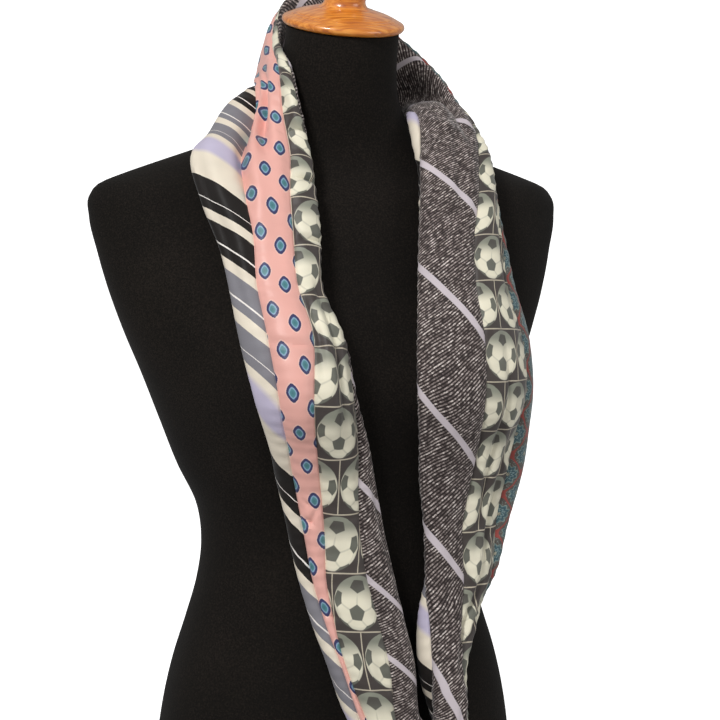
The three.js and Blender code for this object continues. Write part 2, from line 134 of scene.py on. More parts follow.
# The scarf's stations: the rim edge's X Y Z, the fall edge's X Y Z, half the depth, how far the middle
# arches inward, and the angles at which the tweed, stripe, outer and ball strips begin
NAPE = (5, 52, 704, 5, 68, 602, 10, 0, 0, 150, 236, 358)
BOTTOM = (40, -124, 42, 42, -122, 96, 17, 0, 70, 215, 330, 376)
LEFT_STATIONS = (
    (38, -121, 98, 2, -124, 58, 17, 0, -90, 55, 190, 218),
    (31, -120, 108, -25, -121, 108, 16, -1, -76, 75, 214, 230),
    (30, -116, 149, -41, -115, 156, 16, -2, -71, 85, 213, 223),
    (23, -112, 182, -52, -108, 188, 15, -2, -68, 90, 215, 232),
    (17, -108, 215, -60, -100, 219, 15, -3, -68, 94, 217, 239),
    (7, -107, 257, -67, -96, 259, 15, -3, -61, 98, 220, 252),
    (-1, -111, 299, -77, -99, 301, 15, -3, -48, 104, 224, 260),
    (-9, -117, 332, -89, -115, 336, 15, -5, -30, 106, 226, 263),
    (-19, -124, 365, -101, -127, 368, 15, -11, -15, 108, 227, 267),
    (-27, -121, 412, -108, -112, 413, 15, -10, -8, 110, 233, 286),
    (-41, -109, 451, -113, -95, 451, 15, -4, -3, 112, 241, 294),
    (-39, -94, 489, -119, -79, 489, 15, -2, 0, 114, 249, 296),
    (-38, -80, 521, -128, -62, 523, 15, -3, 0, 116, 253, 301),
    (-37, -64, 552, -130, -40, 556, 14, -2, 0, 120, 257, 308),
    (-41, -60, 578, -111, -10, 574, 13, -1, 0, 124, 257, 309),
    (-47, -56, 604, -86, 19, 599, 11, 0, 0, 130, 256, 310),
    (-49, -38, 634, -67, 42, 606, 9, 0, 0, 137, 251, 312),
    (-49, -8, 657, -56, 56, 602, 8, 0, 0, 143, 245, 317),
    (-42, 20, 684, -46, 66, 600, 8, 0, 0, 147, 240, 328),
    (-24, 42, 702, -26, 69, 600, 8.5, 0, 0, 149, 238, 343),
)
RIGHT_STATIONS = (
    (34, 52, 693, 34, 66, 602, 9, 0, 2, 150, 238, 362),
    (58, 46, 680, 54, 60, 600, 9, 0, 4, 150, 240, 364),
    (77, 36, 664, 66, 50, 598, 9, 0, 5, 150, 243, 365),
    (92, 22, 646, 71, 34, 595, 9, 0, 6, 150, 246, 366),
    (104, 8, 628, 65, 14, 592, 10, 0, 8, 152, 249, 368),
    (111, -4, 610, 58, -8, 592, 11, 0, 14, 152, 252, 373),
    (117, -20, 592, 54, -38, 590, 12, 0, 28, 150, 256, 374),
    (121, -34, 574, 52, -56, 573, 13, 0, 40, 160, 260, 373),
    (123, -48, 556, 52, -64, 555, 14, 0, 56, 182, 266, 373),
    (122, -68, 522, 47, -81, 521, 15, 1, 70, 190, 275, 376),
    (123, -79, 489, 42, -94, 489, 15, 2, 84, 198, 280, 386),
    (127, -88, 447, 36, -109, 449, 15, 8, 94, 200, 285, 400),
    (140, -86, 405, 31, -123, 411, 15, 16, 101, 202, 288, 408),
    (146, -80, 363, 30, -128, 364, 15, 18, 105, 202, 290, 411),
    (143, -80, 330, 35, -118, 330, 15, 8, 101, 202, 290, 411),
    (139, -79, 296, 39, -108, 296, 15, 3, 102, 203, 290, 411),
    (127, -80, 256, 45, -104, 254, 15, 0, 107, 203, 290, 408),
    (114, -86, 214, 45, -107, 213, 16, 0, 99, 200, 290, 396),
    (93, -95, 178, 40, -113, 181, 17, 0, 82, 168, 288, 374),
    (76, -110, 145, 38, -120, 149, 19, 0, 50, 163, 290, 352),
    (73, -120, 108, 46, -124, 110, 20, 0, 33, 199, 292, 345),
    (68, -125, 64, 46, -124, 99, 18, 0, 50, 213, 310, 360),
)

# A station's columns
RIM, FALL, DEPTH, ARCH, STARTS = slice(0, 3), slice(3, 6), slice(6, 7), slice(7, 8), slice(8, 12)


class Side(Enum):
    """The hanging strand that a half of the loop makes, as the photograph shows it."""

    LEFT = "left"
    RIGHT = "right"


class Strip(Enum):
    """The four strips of silk round the tube, in the order in which the angle meets them."""

    TWEED = 0
    STRIPE = 1
    OUTER = 2
    BALL = 3


@dataclass(frozen=True)
class Crease:
    """A soft trough in the silk, from one station and angle to another.

    The depth is inward, so a ridge has a negative one. The width is that of the trough's bell curve.
    """

    from_station: float
    from_angle: float
    to_station: float
    to_angle: float
    depth: float
    width: float


@dataclass(frozen=True)
class PrintLay:
    """How a print lies on its strip: where its lattice starts, and how the bias cut has drawn it.

    Across is (u - start) x fit + lean x what v is short of lean_below. Along is (v - start) x fit + the
    squeeze, whose slope grows evenly from nothing at squeeze_from over squeeze_over, and then holds.
    """

    start_across: float = 0.0
    start_along: float = 0.0
    fit_across: float = 1.0
    fit_along: float = 1.0
    squeeze: float = 0.0
    squeeze_from: float = 0.0
    squeeze_over: float = 1.0
    lean: float = 0.0
    lean_below: float = 0.0

    def lay(self, places: np.ndarray) -> np.ndarray:
        """Turn places on the strip into places on the print.

        Args:
            places: millimetres across and along the strip, on the last axis.

        Returns:
            Millimetres across and along the print.
        """
        across, along = places[..., 0], places[..., 1]
        past = np.maximum(along - self.squeeze_from, 0)
        ramp = np.minimum(past, self.squeeze_over)
        extra = self.squeeze * (ramp**2 / (2 * self.squeeze_over) + past - ramp)
        leaned = self.lean * np.maximum(self.lean_below - along, 0)
        return np.stack(
            [
                (across - self.start_across) * self.fit_across + leaned,
                (along - self.start_along) * self.fit_along + extra,
            ],
            -1,
        )


# How each strip's print lies on it
LAYS = {
    (Side.LEFT, Strip.TWEED): PrintLay(
        15, 61, fit_along=1.5, squeeze=-0.5, squeeze_from=100, squeeze_over=40
    ),
    (Side.LEFT, Strip.STRIPE): PrintLay(
        35.5, 554.8, squeeze=0.55, squeeze_from=545, squeeze_over=15, lean=0.2, lean_below=312
    ),
    (Side.LEFT, Strip.OUTER): PrintLay(20.7, 499.4),
    (Side.LEFT, Strip.BALL): PrintLay(
        0, 101.3, 1.19, squeeze=0.44, squeeze_from=291, squeeze_over=480, lean=0.15, lean_below=312
    ),
    (Side.RIGHT, Strip.TWEED): PrintLay(3, 66.9, squeeze=0.39, squeeze_from=262, squeeze_over=300),
    (Side.RIGHT, Strip.STRIPE): PrintLay(35, 737.2, fit_along=1.1),
    (Side.RIGHT, Strip.OUTER): PrintLay(),
    (Side.RIGHT, Strip.BALL): PrintLay(15, 131.7, 1.48, squeeze=0.28, squeeze_from=131.7, squeeze_over=500),
}

# The large folds, which the solids have too
LEFT_FOLDS = {
    "pocket at the shoulder": Crease(12.4, 250, 17.0, 262, 8, 9),
    "pleat down the dots": Crease(13.2, 284, 18.5, 288, 5, 8),
    "pleat below the shoulder": Crease(10.5, 270, 13.6, 280, 2.5, 9),
    "crease by the balls": Crease(6.5, 318, 10.2, 330, 3.5, 9),
    "pucker low": Crease(4.2, 262, 7.2, 256, 3, 8),
    "trough behind": Crease(3, 60, 9, 50, 4, 12),
    "collar tuck": Crease(16, 215, 20.4, 205, 4, 12),
}
RIGHT_FOLDS = {
    "crease over the shoulder": Crease(4.5, 60, 8.6, 72, 6, 10),
    "crease down the tweed": Crease(8.6, 120, 12.5, 128, 2, 12),
    "pleat in the balls": Crease(13.5, 62, 19.5, 58, 4, 9),
    "pleat low": Crease(16.5, 120, 20.5, 105, 3, 10),
    "trough behind": Crease(10, 250, 17, 245, 4, 13),
    "collar tuck": Crease(0.6, 205, 5, 215, 4, 12),
}

# The finer creases, which only the silk's own surface has
LEFT_CREASES = {
    "press line across the dots": Crease(9.85, 228, 9.8, 292, 1.7, 1.7),
    "ridge above the press line": Crease(9.99, 228, 9.94, 292, -0.9, 2.2),
    "core of the dots' pleat": Crease(13.8, 281, 17.4, 279, 9.0, 3.6),
    "ridge beside the dots' pleat": Crease(13.2, 291, 17.6, 292, -3.0, 4.4),
    "second trough in the dots": Crease(14.2, 265, 18.6, 268, 3.4, 3.0),
    "pinch in the balls": Crease(8.0, 296, 11.2, 324, 5.0, 3.2),
    "ridge left of the pinch": Crease(7.9, 283, 10.9, 306, -2.2, 4.2),
    "pull from the pinch": Crease(9.2, 280, 10.8, 302, 2.4, 2.4),
    "pucker one": Crease(6.15, 232, 6.55, 252, 2.4, 2.0),
    "pucker two": Crease(6.35, 229, 6.1, 248, 2.0, 1.9),
    "pucker three": Crease(6.75, 230, 6.5, 250, 1.8, 2.0),
    "press line low on the dots": Crease(4.15, 216, 4.1, 244, 2.0, 1.8),
    "slack in the tweed": Crease(4.4, 352, 7.6, 340, 3.0, 4.5),
    "slack low in the balls": Crease(1.6, 262, 4.0, 280, 3.0, 4.5),
    "fold in the stripes": Crease(10.2, 214, 15.5, 200, 2.6, 5.0),
    "ridge in the stripes": Crease(11.0, 232, 15.0, 222, -1.6, 5.0),
    "dent at the shoulder": Crease(14.2, 176, 16.8, 200, 2.4, 6.0),
    "long trough at the back": Crease(5.5, 150, 12.5, 160, 2.6, 5.5),
    "tuck at the neck": Crease(17.4, 330, 20.6, 350, 1.4, 4.0),
    "tuck in the collar": Crease(18.6, 285, 20.9, 262, 2.0, 5.0),
    "shadowed tuck beside the stripes": Crease(12.6, 255, 17.2, 263, 8.0, 3.4),
    "rolled edge beside that tuck": Crease(12.4, 265, 17.4, 272, -3.2, 4.6),
    "gather across the tuck": Crease(14.6, 250, 15.2, 264, 2.4, 3.0),
    "gather high in the balls": Crease(16.24, 312, 16.2, 356, 5.0, 2.8),
    "gather below it": Crease(14.87, 312, 14.84, 356, 5.0, 2.8),
    "third gather in the balls": Crease(13.4, 306, 13.38, 352, 5.0, 2.8),
    "fourth gather in the balls": Crease(11.93, 300, 11.9, 350, 4.0, 2.8),
    "hollow between two gathers": Crease(14.2, 316, 15.9, 320, 1.8, 4.0),
}
RIGHT_CREASES = {
    "hollow behind the shoulder": Crease(2.6, 118, 7.2, 64, 12.0, 10.0),
    "rolled edge below the hollow": Crease(7.5, 146, 8.2, 84, -3.5, 5.0),
    "core of the shoulder crease": Crease(5.0, 60, 8.8, 74, 4.0, 3.6),
    "ridge over the shoulder": Crease(5.4, 88, 8.4, 104, -2.6, 5.0),
    "soft line down the tweed": Crease(7.0, 92, 10.8, 102, 2.6, 4.0),
    "hollow in the tweed": Crease(11.5, 160, 15.8, 150, 3.0, 8.0),
    "long ridge in the tweed": Crease(12.2, 138, 17.0, 132, -1.4, 7.0),
    "first line in the balls": Crease(12.6, 82, 17.8, 88, 4.6, 2.8),
    "second line in the balls": Crease(15.0, 68, 19.4, 72, 4.4, 3.0),
    "third line in the balls": Crease(9.8, 34, 13.2, 60, 3.2, 3.0),
    "gather at the waist": Crease(17.8, 60, 20.4, 78, 4.6, 3.4),
    "gather beside it": Crease(18.2, 40, 20.6, 52, 3.6, 3.8),
    "slack low in the tweed": Crease(18.0, 128, 21.4, 112, 2.2, 5.0),
    "tuck at the bottom": Crease(20.6, 80, 22.6, 96, 2.0, 4.0),
    "fold down the rosettes": Crease(11.5, 350, 17.5, 352, 2.0, 5.0),
    "trough in the stripes": Crease(9.5, 225, 14.5, 230, 2.4, 6.0),
    "tuck in the collar": Crease(1.0, 262, 4.6, 285, 2.2, 6.0),
    "dent at the back": Crease(4.2, 300, 8.8, 310, 2.6, 7.0),
}


def unit(vectors: np.ndarray) -> np.ndarray:
    """Vectors scaled to length one along their last axis."""
    return vectors / np.linalg.norm(vectors, axis=-1, keepdims=True)


def paint(code: str) -> tuple[float, float, float, float]:
    """Turn an sRGB hex colour to Blender's linear red, green, blue and alpha.

    Args:
        code: six hex digits after a hash sign.

    Returns:
        The four linear values.
    """
    parts = [int(code[i : i + 2], 16) / 255 for i in (1, 3, 5)]
    linear = [p / 12.92 if p <= 0.04045 else ((p + 0.055) / 1.055) ** 2.4 for p in parts]
    return (linear[0], linear[1], linear[2], 1.0)


class SmoothTable:
    """Columns of numbers against a key, smooth between the rows.

    Between two rows each column is a cubic Hermite curve. A row's slope is the mean of the slopes to its two
    neighbours, where the nearer neighbour counts for more.
    """

    def __init__(self, keys: Sequence[float], rows: Sequence[Sequence[float]]) -> None:
        """Keep the rows and work out each row's slope.

        Args:
            keys: the key of each row, rising.
            rows: the rows, all of one length.
        """
        self.keys = np.asarray(keys, float)
        self.rows = np.asarray(rows, float)
        spans = np.diff(self.keys)[:, None]
        steps = np.diff(self.rows, axis=0) / spans
        share = spans[:-1] / (spans[:-1] + spans[1:])
        inner = steps[:-1] * (1 - share) + steps[1:] * share
        self.slopes = np.vstack([steps[:1], inner, steps[-1:]])

    def at(self, wanted: np.ndarray) -> np.ndarray:
        """Read the columns at some keys.

        Args:
            wanted: the keys, in an array of any shape. Beyond the ends the end rows hold.

        Returns:
            The columns, along one more axis at the end.
        """
        key = np.clip(wanted, self.keys[0], self.keys[-1])
        row = np.clip(np.searchsorted(self.keys, key) - 1, 0, len(self.keys) - 2)
        span = (self.keys[row + 1] - self.keys[row])[..., None]
        t = (key - self.keys[row])[..., None] / span
        near = (1 + 2 * t) * (1 - t) ** 2 * self.rows[row] + t * (1 - t) ** 2 * span * self.slopes[row]
        far = t * t * (3 - 2 * t) * self.rows[row + 1] + t * t * (t - 1) * span * self.slopes[row + 1]
        return near + far


def write_mesh(
    name: str,
    points: np.ndarray,
    faces: list[list[int]],
    uv: np.ndarray | None = None,
    sharp_degrees: float = 40.0,
) -> bpy.types.Object:
    """Put points and faces into a new object at the origin.

    Args:
        name: the object's name.
        points: one row of X, Y and Z for each vertex, in millimetres from the form's axis.
        faces: the vertex indices of each face.
        uv: one row of U and V in metres for each vertex, or None.
        sharp_degrees: edges that turn by more than this are left sharp.

    Returns:
        The object, smooth-shaded.
    """
    placed = (points + np.array([0.0, AXIS_Y, 0.0])) * MM
    mesh = bpy.data.meshes.new(name)
    mesh.from_pydata(placed.tolist(), [], faces)
    mesh.shade_smooth()
    mesh.set_sharp_from_angle(angle=math.radians(sharp_degrees))
    if uv is not None:
        corners = np.empty(len(mesh.loops), int)
        mesh.loops.foreach_get("vertex_index", corners)
        layer = mesh.uv_layers.new(name="cloth")
        layer.uv.foreach_set("vector", uv[corners].astype(np.float32).ravel())
    obj = bpy.data.objects.new(name, mesh)
    bpy.context.scene.collection.objects.link(obj)
    return obj


def grid_faces(rows: int, columns: int, closed: bool = False) -> np.ndarray:
    """Quads of a grid of vertices that are stored row by row.

    Args:
        rows: how many rows of vertices there are.
        columns: how many vertices a row has.
        closed: whether the last column joins the first.

    Returns:
        One row of four indices for each quad, turning from a column to the next and then to the next row.
    """
    row = np.arange(rows - 1)[:, None] * columns
    next_row = row + columns
    column = np.arange(columns if closed else columns - 1)[None, :]
    onward = (column + 1) % columns
    return np.stack([row + column, row + onward, next_row + onward, next_row + column], -1).reshape(-1, 4)


def capped_faces(rows: int, columns: int) -> list[list[int]]:
    """Faces of closed rings of vertices, with a fan to a vertex below the first and one above the last.

    Args:
        rows: how many rings there are.
        columns: how many vertices a ring has.

    Returns:
        The faces, for the rings' vertices followed by the lower and the upper one.
    """
    ring = np.arange(columns)
    onward = (ring + 1) % columns
    last = (rows - 1) * columns
    below = np.full(columns, rows * columns)
    return [
        *grid_faces(rows, columns, closed=True).tolist(),
        *np.stack([below, onward, ring], -1).tolist(),
        *np.stack([below + 1, last + ring, last + onward], -1).tolist(),
    ]


@dataclass(frozen=True)
class TorsoShape:
    """The dress form's surface, as rings of superellipses with the bust added.

    A ring's radius in the direction (c, s) is (|c / half width|^n + |s / depth|^n)^(-1/n), with its own depth
    in front and behind. The ring's plane leans forward with the neck.
    """

    rings: tuple[tuple[float, ...], ...] = FORM_RINGS
    bust_reach: float = 30
    bust_half_spread: float = 76
    bust_width: float = 46
    bust_height: float = 372
    bust_above: float = 62
    bust_below: float = 40
    bust_fade: float = 60
    level_rounds: int = 6
    push_rounds: int = 3
    slope_step: float = 0.5

    @property
    def neck(self) -> tuple[float, float, float]:
        """The neck's top: its height, its centre's Y and its lean in degrees."""
        last = self.rings[-1]
        return last[0], last[1 + CENTRE_Y], last[1 + LEAN]

    def ring_at(self, height: np.ndarray) -> np.ndarray:
        """A ring's six sizes at any height, smooth between the rings of the table."""
        table = SmoothTable([r[0] for r in self.rings], [r[1:] for r in self.rings])
        return table.at(height)

    def radius(self, ring: np.ndarray, cosine: np.ndarray, sine: np.ndarray) -> np.ndarray:
        """The ring's radius in a direction."""
        depth = np.where(sine > 0, ring[..., BACK], ring[..., FRONT])
        n = ring[..., SQUARENESS]
        return (np.abs(cosine / ring[..., HALF_WIDTH]) ** n + np.abs(sine / depth) ** n) ** (-1 / n)

    def bust(self, x: np.ndarray, y: np.ndarray, height: np.ndarray) -> np.ndarray:
        """How far the bust stands out: two bell curves that fade out toward the sides and the back."""
        spread = (np.abs(x) - self.bust_half_spread) / self.bust_width
        reach = np.where(height > self.bust_height, self.bust_above, self.bust_below)
        rise = (height - self.bust_height) / reach
        return self.bust_reach * np.exp(-spread**2 - rise**2) * np.clip(-y / self.bust_fade, 0, 1)

    def points(self, height: np.ndarray, angle: np.ndarray) -> np.ndarray:
        """Points of the surface.

        Args:
            height: the heights of the rings' middles.
            angle: the directions in the rings' planes, in radians, where three quarters of a turn is the
                front.

        Returns:
            The points, along one more axis at the end.
        """
        ring = self.ring_at(height)
        radius = self.radius(ring, np.cos(angle), np.sin(angle))
        x = radius * np.cos(angle)
        flat = radius * np.sin(angle)
        y = flat - self.bust(x, flat, height)
        lean = np.radians(ring[..., LEAN])
        return np.stack([x, ring[..., CENTRE_Y] + y * np.cos(lean), height + y * np.sin(lean)], -1)

    def level(self, point: np.ndarray) -> np.ndarray:
        """How far points are outside the ring that passes by them, measured in the ring's plane."""
        height = point[..., 2]
        ring = self.ring_at(height)
        y = point[..., 1] - ring[..., CENTRE_Y]
        for _ in range(self.level_rounds):
            lean = np.radians(ring[..., LEAN])
            y = (point[..., 1] - ring[..., CENTRE_Y]) / np.cos(lean)
            height = point[..., 2] - y * np.sin(lean)
            ring = self.ring_at(height)
        flat = y + self.bust(point[..., 0], y, height)
        away = np.hypot(point[..., 0], flat) + 1e-9
        return away - self.radius(ring, point[..., 0] / away, flat / away)

    def keep_clear(self, point: np.ndarray) -> np.ndarray:
        """Move points out of the surface, or away from it, so that they keep FORM_GAP.

        A point moves along the steepest way out. The first pass adds softplus of what is missing, so that the
        cloth has no sudden step where it meets the form, and two more passes clear what is left.

        Args:
            point: the points, of shape (..., 3).

        Returns:
            The moved points.
        """
        moved = point.copy()
        step = self.slope_step
        softness_ends = FORM_GAP + 8 * GAP_SOFTNESS
        near = np.ones(point.shape[:-1], bool)
        for turn in range(self.push_rounds):
            slopes = []
            for axis in np.eye(3) * step:
                slopes.append((self.level(moved + axis) - self.level(moved - axis)) / (2 * step))
            out = np.stack(slopes, -1)
            steepness = np.linalg.norm(out, axis=-1)
            distance = self.level(moved) / steepness
            near &= distance <= softness_ends
            if turn == 0:
                push = GAP_SOFTNESS * np.logaddexp(0, (FORM_GAP - distance) / GAP_SOFTNESS)
            else:
                push = np.maximum(FORM_GAP - distance, 0)
            moved += np.where(near, push / steepness, 0)[..., None] * out
        return moved


class NodePen:
    """Adds nodes to the tree of one new material."""

    def __init__(self, name: str) -> None:
        """Make the material, with an empty tree."""
        self.material = bpy.data.materials.new(name)
        self.material.use_nodes = True
        self.tree = self.material.node_tree
        self.tree.nodes.clear()

    def add(
        self,
        kind: str,
        *feeds: Any,
        named: dict[int | str, Any] | None = None,
        stops: Sequence[tuple[float, str]] = (),
        out: int = 0,
        **settings: Any,
    ) -> Any:
        """Add a node with its settings and links.

        A RANGE node's feeds are its value, the low and high of what comes in, and the low and high of what
        goes out.

        Args:
            kind: the node's type.
            feeds: a socket or a value for each input in order; None leaves an input as it is.
            named: sockets or values for inputs by their name or number.
            stops: places and sRGB hex colours of a colour ramp.
            out: which output is wanted.
            settings: the node's own settings.

        Returns:
            The wanted output socket, or the node itself where it has none.
        """
        node = self.tree.nodes.new(kind)
        for key, value in settings.items():
            setattr(node, key, value)
        if stops:
            ramp = node.color_ramp
            while len(ramp.elements) < len(stops):
                ramp.elements.new(1.0)
            for element, (place, code) in zip(ramp.elements, stops):
                element.position = place
                element.color = paint(code)
        wanted = {i: feed for i, feed in enumerate(feeds) if feed is not None}
        wanted.update(named or {})
        for key, value in wanted.items():
            if isinstance(value, bpy.types.NodeSocket):
                self.tree.links.new(value, node.inputs[key])
            else:
                node.inputs[key].default_value = value
        return node.outputs[out] if node.outputs else node


MATH = "ShaderNodeMath"
VECTOR = "ShaderNodeVectorMath"
RAMP = "ShaderNodeValToRGB"
RANGE = "ShaderNodeMapRange"
NOISE = "ShaderNodeTexNoise"
MIX = "ShaderNodeMix"

# A mix of colours: its inputs 0, 6 and 7 are the share and the two colours, and its output 2 is the result
COLOURS = {"data_type": "RGBA", "out": 2}


@dataclass(frozen=True)
class ClothFinish:
    """Necktie cloth: a printed or woven colour on a fine twill, which gives a soft sheen.

    The cloth's own map gives metres across and along the strip, so the pattern follows the silk.
    """

    name: str
    roughness: float = 0.5
    specular: float = 0.35
    sheen: float = 0.25
    weave_pitch: float = 1.3
    weave_depth: float = 0.10
    shade_share: float = 0.10

    def place(self, pen: NodePen) -> Any:
        """The place on the strip in millimetres across and along."""
        metres = pen.add("ShaderNodeUVMap", uv_map="cloth")
        return pen.add(VECTOR, metres, named={3: 1 / MM}, operation="SCALE")

    def colour(self, pen: NodePen, place: Any) -> Any:
        """The pattern's colour at a place. Each cloth has its own."""
        raise NotImplementedError

    def height(self, pen: NodePen, place: Any) -> Any:
        """The weave's height: noise as coarse as twice the real thread's pitch, so that it shows."""
        return pen.add(NOISE, named={"Vector": place, "Scale": 1 / self.weave_pitch, "Detail": 1.0})

    def make(self) -> bpy.types.Material:
        """The material, with slow changes of shade from handling and washing over its pattern."""
        pen = NodePen(self.name)
        place = self.place(pen)
        shade = pen.add(NOISE, named={"Vector": place, "Scale": 0.03, "Detail": 2.0})
        tone = pen.add(RANGE, shade, 0.3, 0.7, 1 - self.shade_share, 1.0)
        pattern = self.colour(pen, place)
        toned = pen.add(VECTOR, pattern, named={3: tone}, operation="SCALE")
        bump = pen.add(
            "ShaderNodeBump",
            named={"Height": self.height(pen, place), "Distance": self.weave_depth * MM, "Strength": 1.0},
        )
        shader = pen.add(
            "ShaderNodeBsdfPrincipled",
            named={
                "Base Color": toned,
                "Roughness": self.roughness,
                "Specular IOR Level": self.specular,
                "Sheen Weight": self.sheen,
                "Sheen Roughness": 0.4,
                "Normal": bump,
            },
        )
        pen.add("ShaderNodeOutputMaterial", shader)
        return pen.material


@dataclass(frozen=True)
class StripedSilk(ClothFinish):
    """Satin necktie silk with woven bias stripes.

    The shine of satin carries blocks of black and grey, each split by a hair line, between cream grounds, and
    a soft lavender band after every fourth block.
    """

    wide: float = 14.6
    hair: float = 1.0
    narrow: float = 7.0
    ground: float = 8.1
    band: float = 20.0
    band_ground: float = 25.6
    band_blur: float = 0.25
    blocks: tuple[str, ...] = ("#1f1b19", "#1f1b19", "#838187", "#838187")
    cream: str = "#eadfcc"
    white: str = "#f3ede6"
    lavender: str = "#c5bdd3"

    def colour(self, pen: NodePen, place: Any) -> Any:
        """Stripes across the bias: a constant ramp over the repeat, and the soft lavender band over it.

        The place along the repeat is minus the sum of both ways over the root of two, so that the stripes
        fall to the right and their order runs down the strand.

        Args:
            pen: the material's pen.
            place: the place on the print in millimetres.

        Returns:
            The colour socket.
        """
        block = self.wide + self.hair + self.narrow + self.ground
        repeat = block * len(self.blocks) + self.band + self.band_ground
        slant = -math.sqrt(0.5) / repeat
        along = pen.add(VECTOR, place, (slant, slant, 0.0), operation="DOT_PRODUCT", out=1)
        share = pen.add(MATH, along, operation="FRACT")
        stops: list[tuple[float, str]] = []
        for i, code in enumerate(self.blocks):
            start = i * block
            stops.append((start / repeat, code))
            stops.append(((start + self.wide) / repeat, self.white))
            stops.append(((start + self.wide + self.hair) / repeat, code))
            stops.append(((start + block - self.ground) / repeat, self.cream))
        ramp = pen.add(RAMP, share, stops=stops)
        ramp.node.color_ramp.interpolation = "CONSTANT"
        middle = len(self.blocks) * block + self.band / 2
        offset = pen.add(MATH, share, middle / repeat, operation="SUBTRACT")
        distance = pen.add(MATH, offset, operation="ABSOLUTE")
        inside = self.band / 2 / repeat
        blur = self.band_blur * inside
        mask = pen.add(RANGE, distance, inside - blur, inside + blur, 1.0, 0.0)
        return pen.add(MIX, named={0: mask, 6: ramp, 7: paint(self.lavender)}, **COLOURS)


@dataclass(frozen=True)
class DottedSilk(ClothFinish):
    """Printed pink necktie silk with small diamond-like medallions in a half-drop repeat.

    Screen printing gives each motif a crisp navy line round a pale blue ring and a teal heart.
    """

    down: tuple[float, float] = (1.2, -33.0)
    aside: tuple[float, float] = (14.3, -12.0)
    half_width: float = 4.8
    half_height: float = 7.3
    squareness: float = 1.55
    ground: str = "#eeb2a6"

    def oval(self, pen: NodePen, place: Any) -> Any:
        """How far a place is from the nearest medallion's middle, where one is its navy outline.

        The place is counted in steps down and aside, what is over a whole step is turned back to
        millimetres, and a superellipse's norm of that over the half sizes is the distance.

        Args:
            pen: the material's pen.
            place: the place on the print in millimetres.

        Returns:
            The distance socket.
        """
        counting = np.linalg.inv(np.array([self.down, self.aside]).T)
        steps = [pen.add(VECTOR, place, (*row, 0.0), operation="DOT_PRODUCT", out=1) for row in counting]
        over = [pen.add(MATH, step, 0.5, -0.5, operation="WRAP") for step in steps]
        parts = []
        for axis, half in ((0, self.half_width), (1, self.half_height)):
            first = pen.add(MATH, over[0], self.down[axis] / half, operation="MULTIPLY")
            both = pen.add(MATH, over[1], self.aside[axis] / half, first, operation="MULTIPLY_ADD")
            size = pen.add(MATH, both, operation="ABSOLUTE")
            parts.append(pen.add(MATH, size, self.squareness, operation="POWER"))
        total = pen.add(MATH, parts[0], parts[1], operation="ADD")
        return pen.add(MATH, total, 1 / self.squareness, operation="POWER")

    def colour(self, pen: NodePen, place: Any) -> Any:
        """The medallions on the pink ground, with the print's small unevenness."""
        rough = pen.add(NOISE, named={"Vector": place, "Scale": 0.9, "Detail": 1.0})
        wobble = pen.add(RANGE, rough, 0.0, 1.0, -0.07, 0.07)
        drawn = pen.add(MATH, self.oval(pen, place), wobble, operation="ADD")
        half = pen.add(MATH, drawn, 0.5, operation="MULTIPLY")
        return pen.add(
            RAMP,
            half,
            stops=[
                (0.0, "#44757c"),
                (0.21, "#528a91"),
                (0.27, "#8fb0c6"),
                (0.30, "#82a3c2"),
                (0.34, "#3d3f6e"),
                (0.49, "#333259"),
                (0.52, "#f4cabf"),
                (0.60, self.ground),
            ],
        )


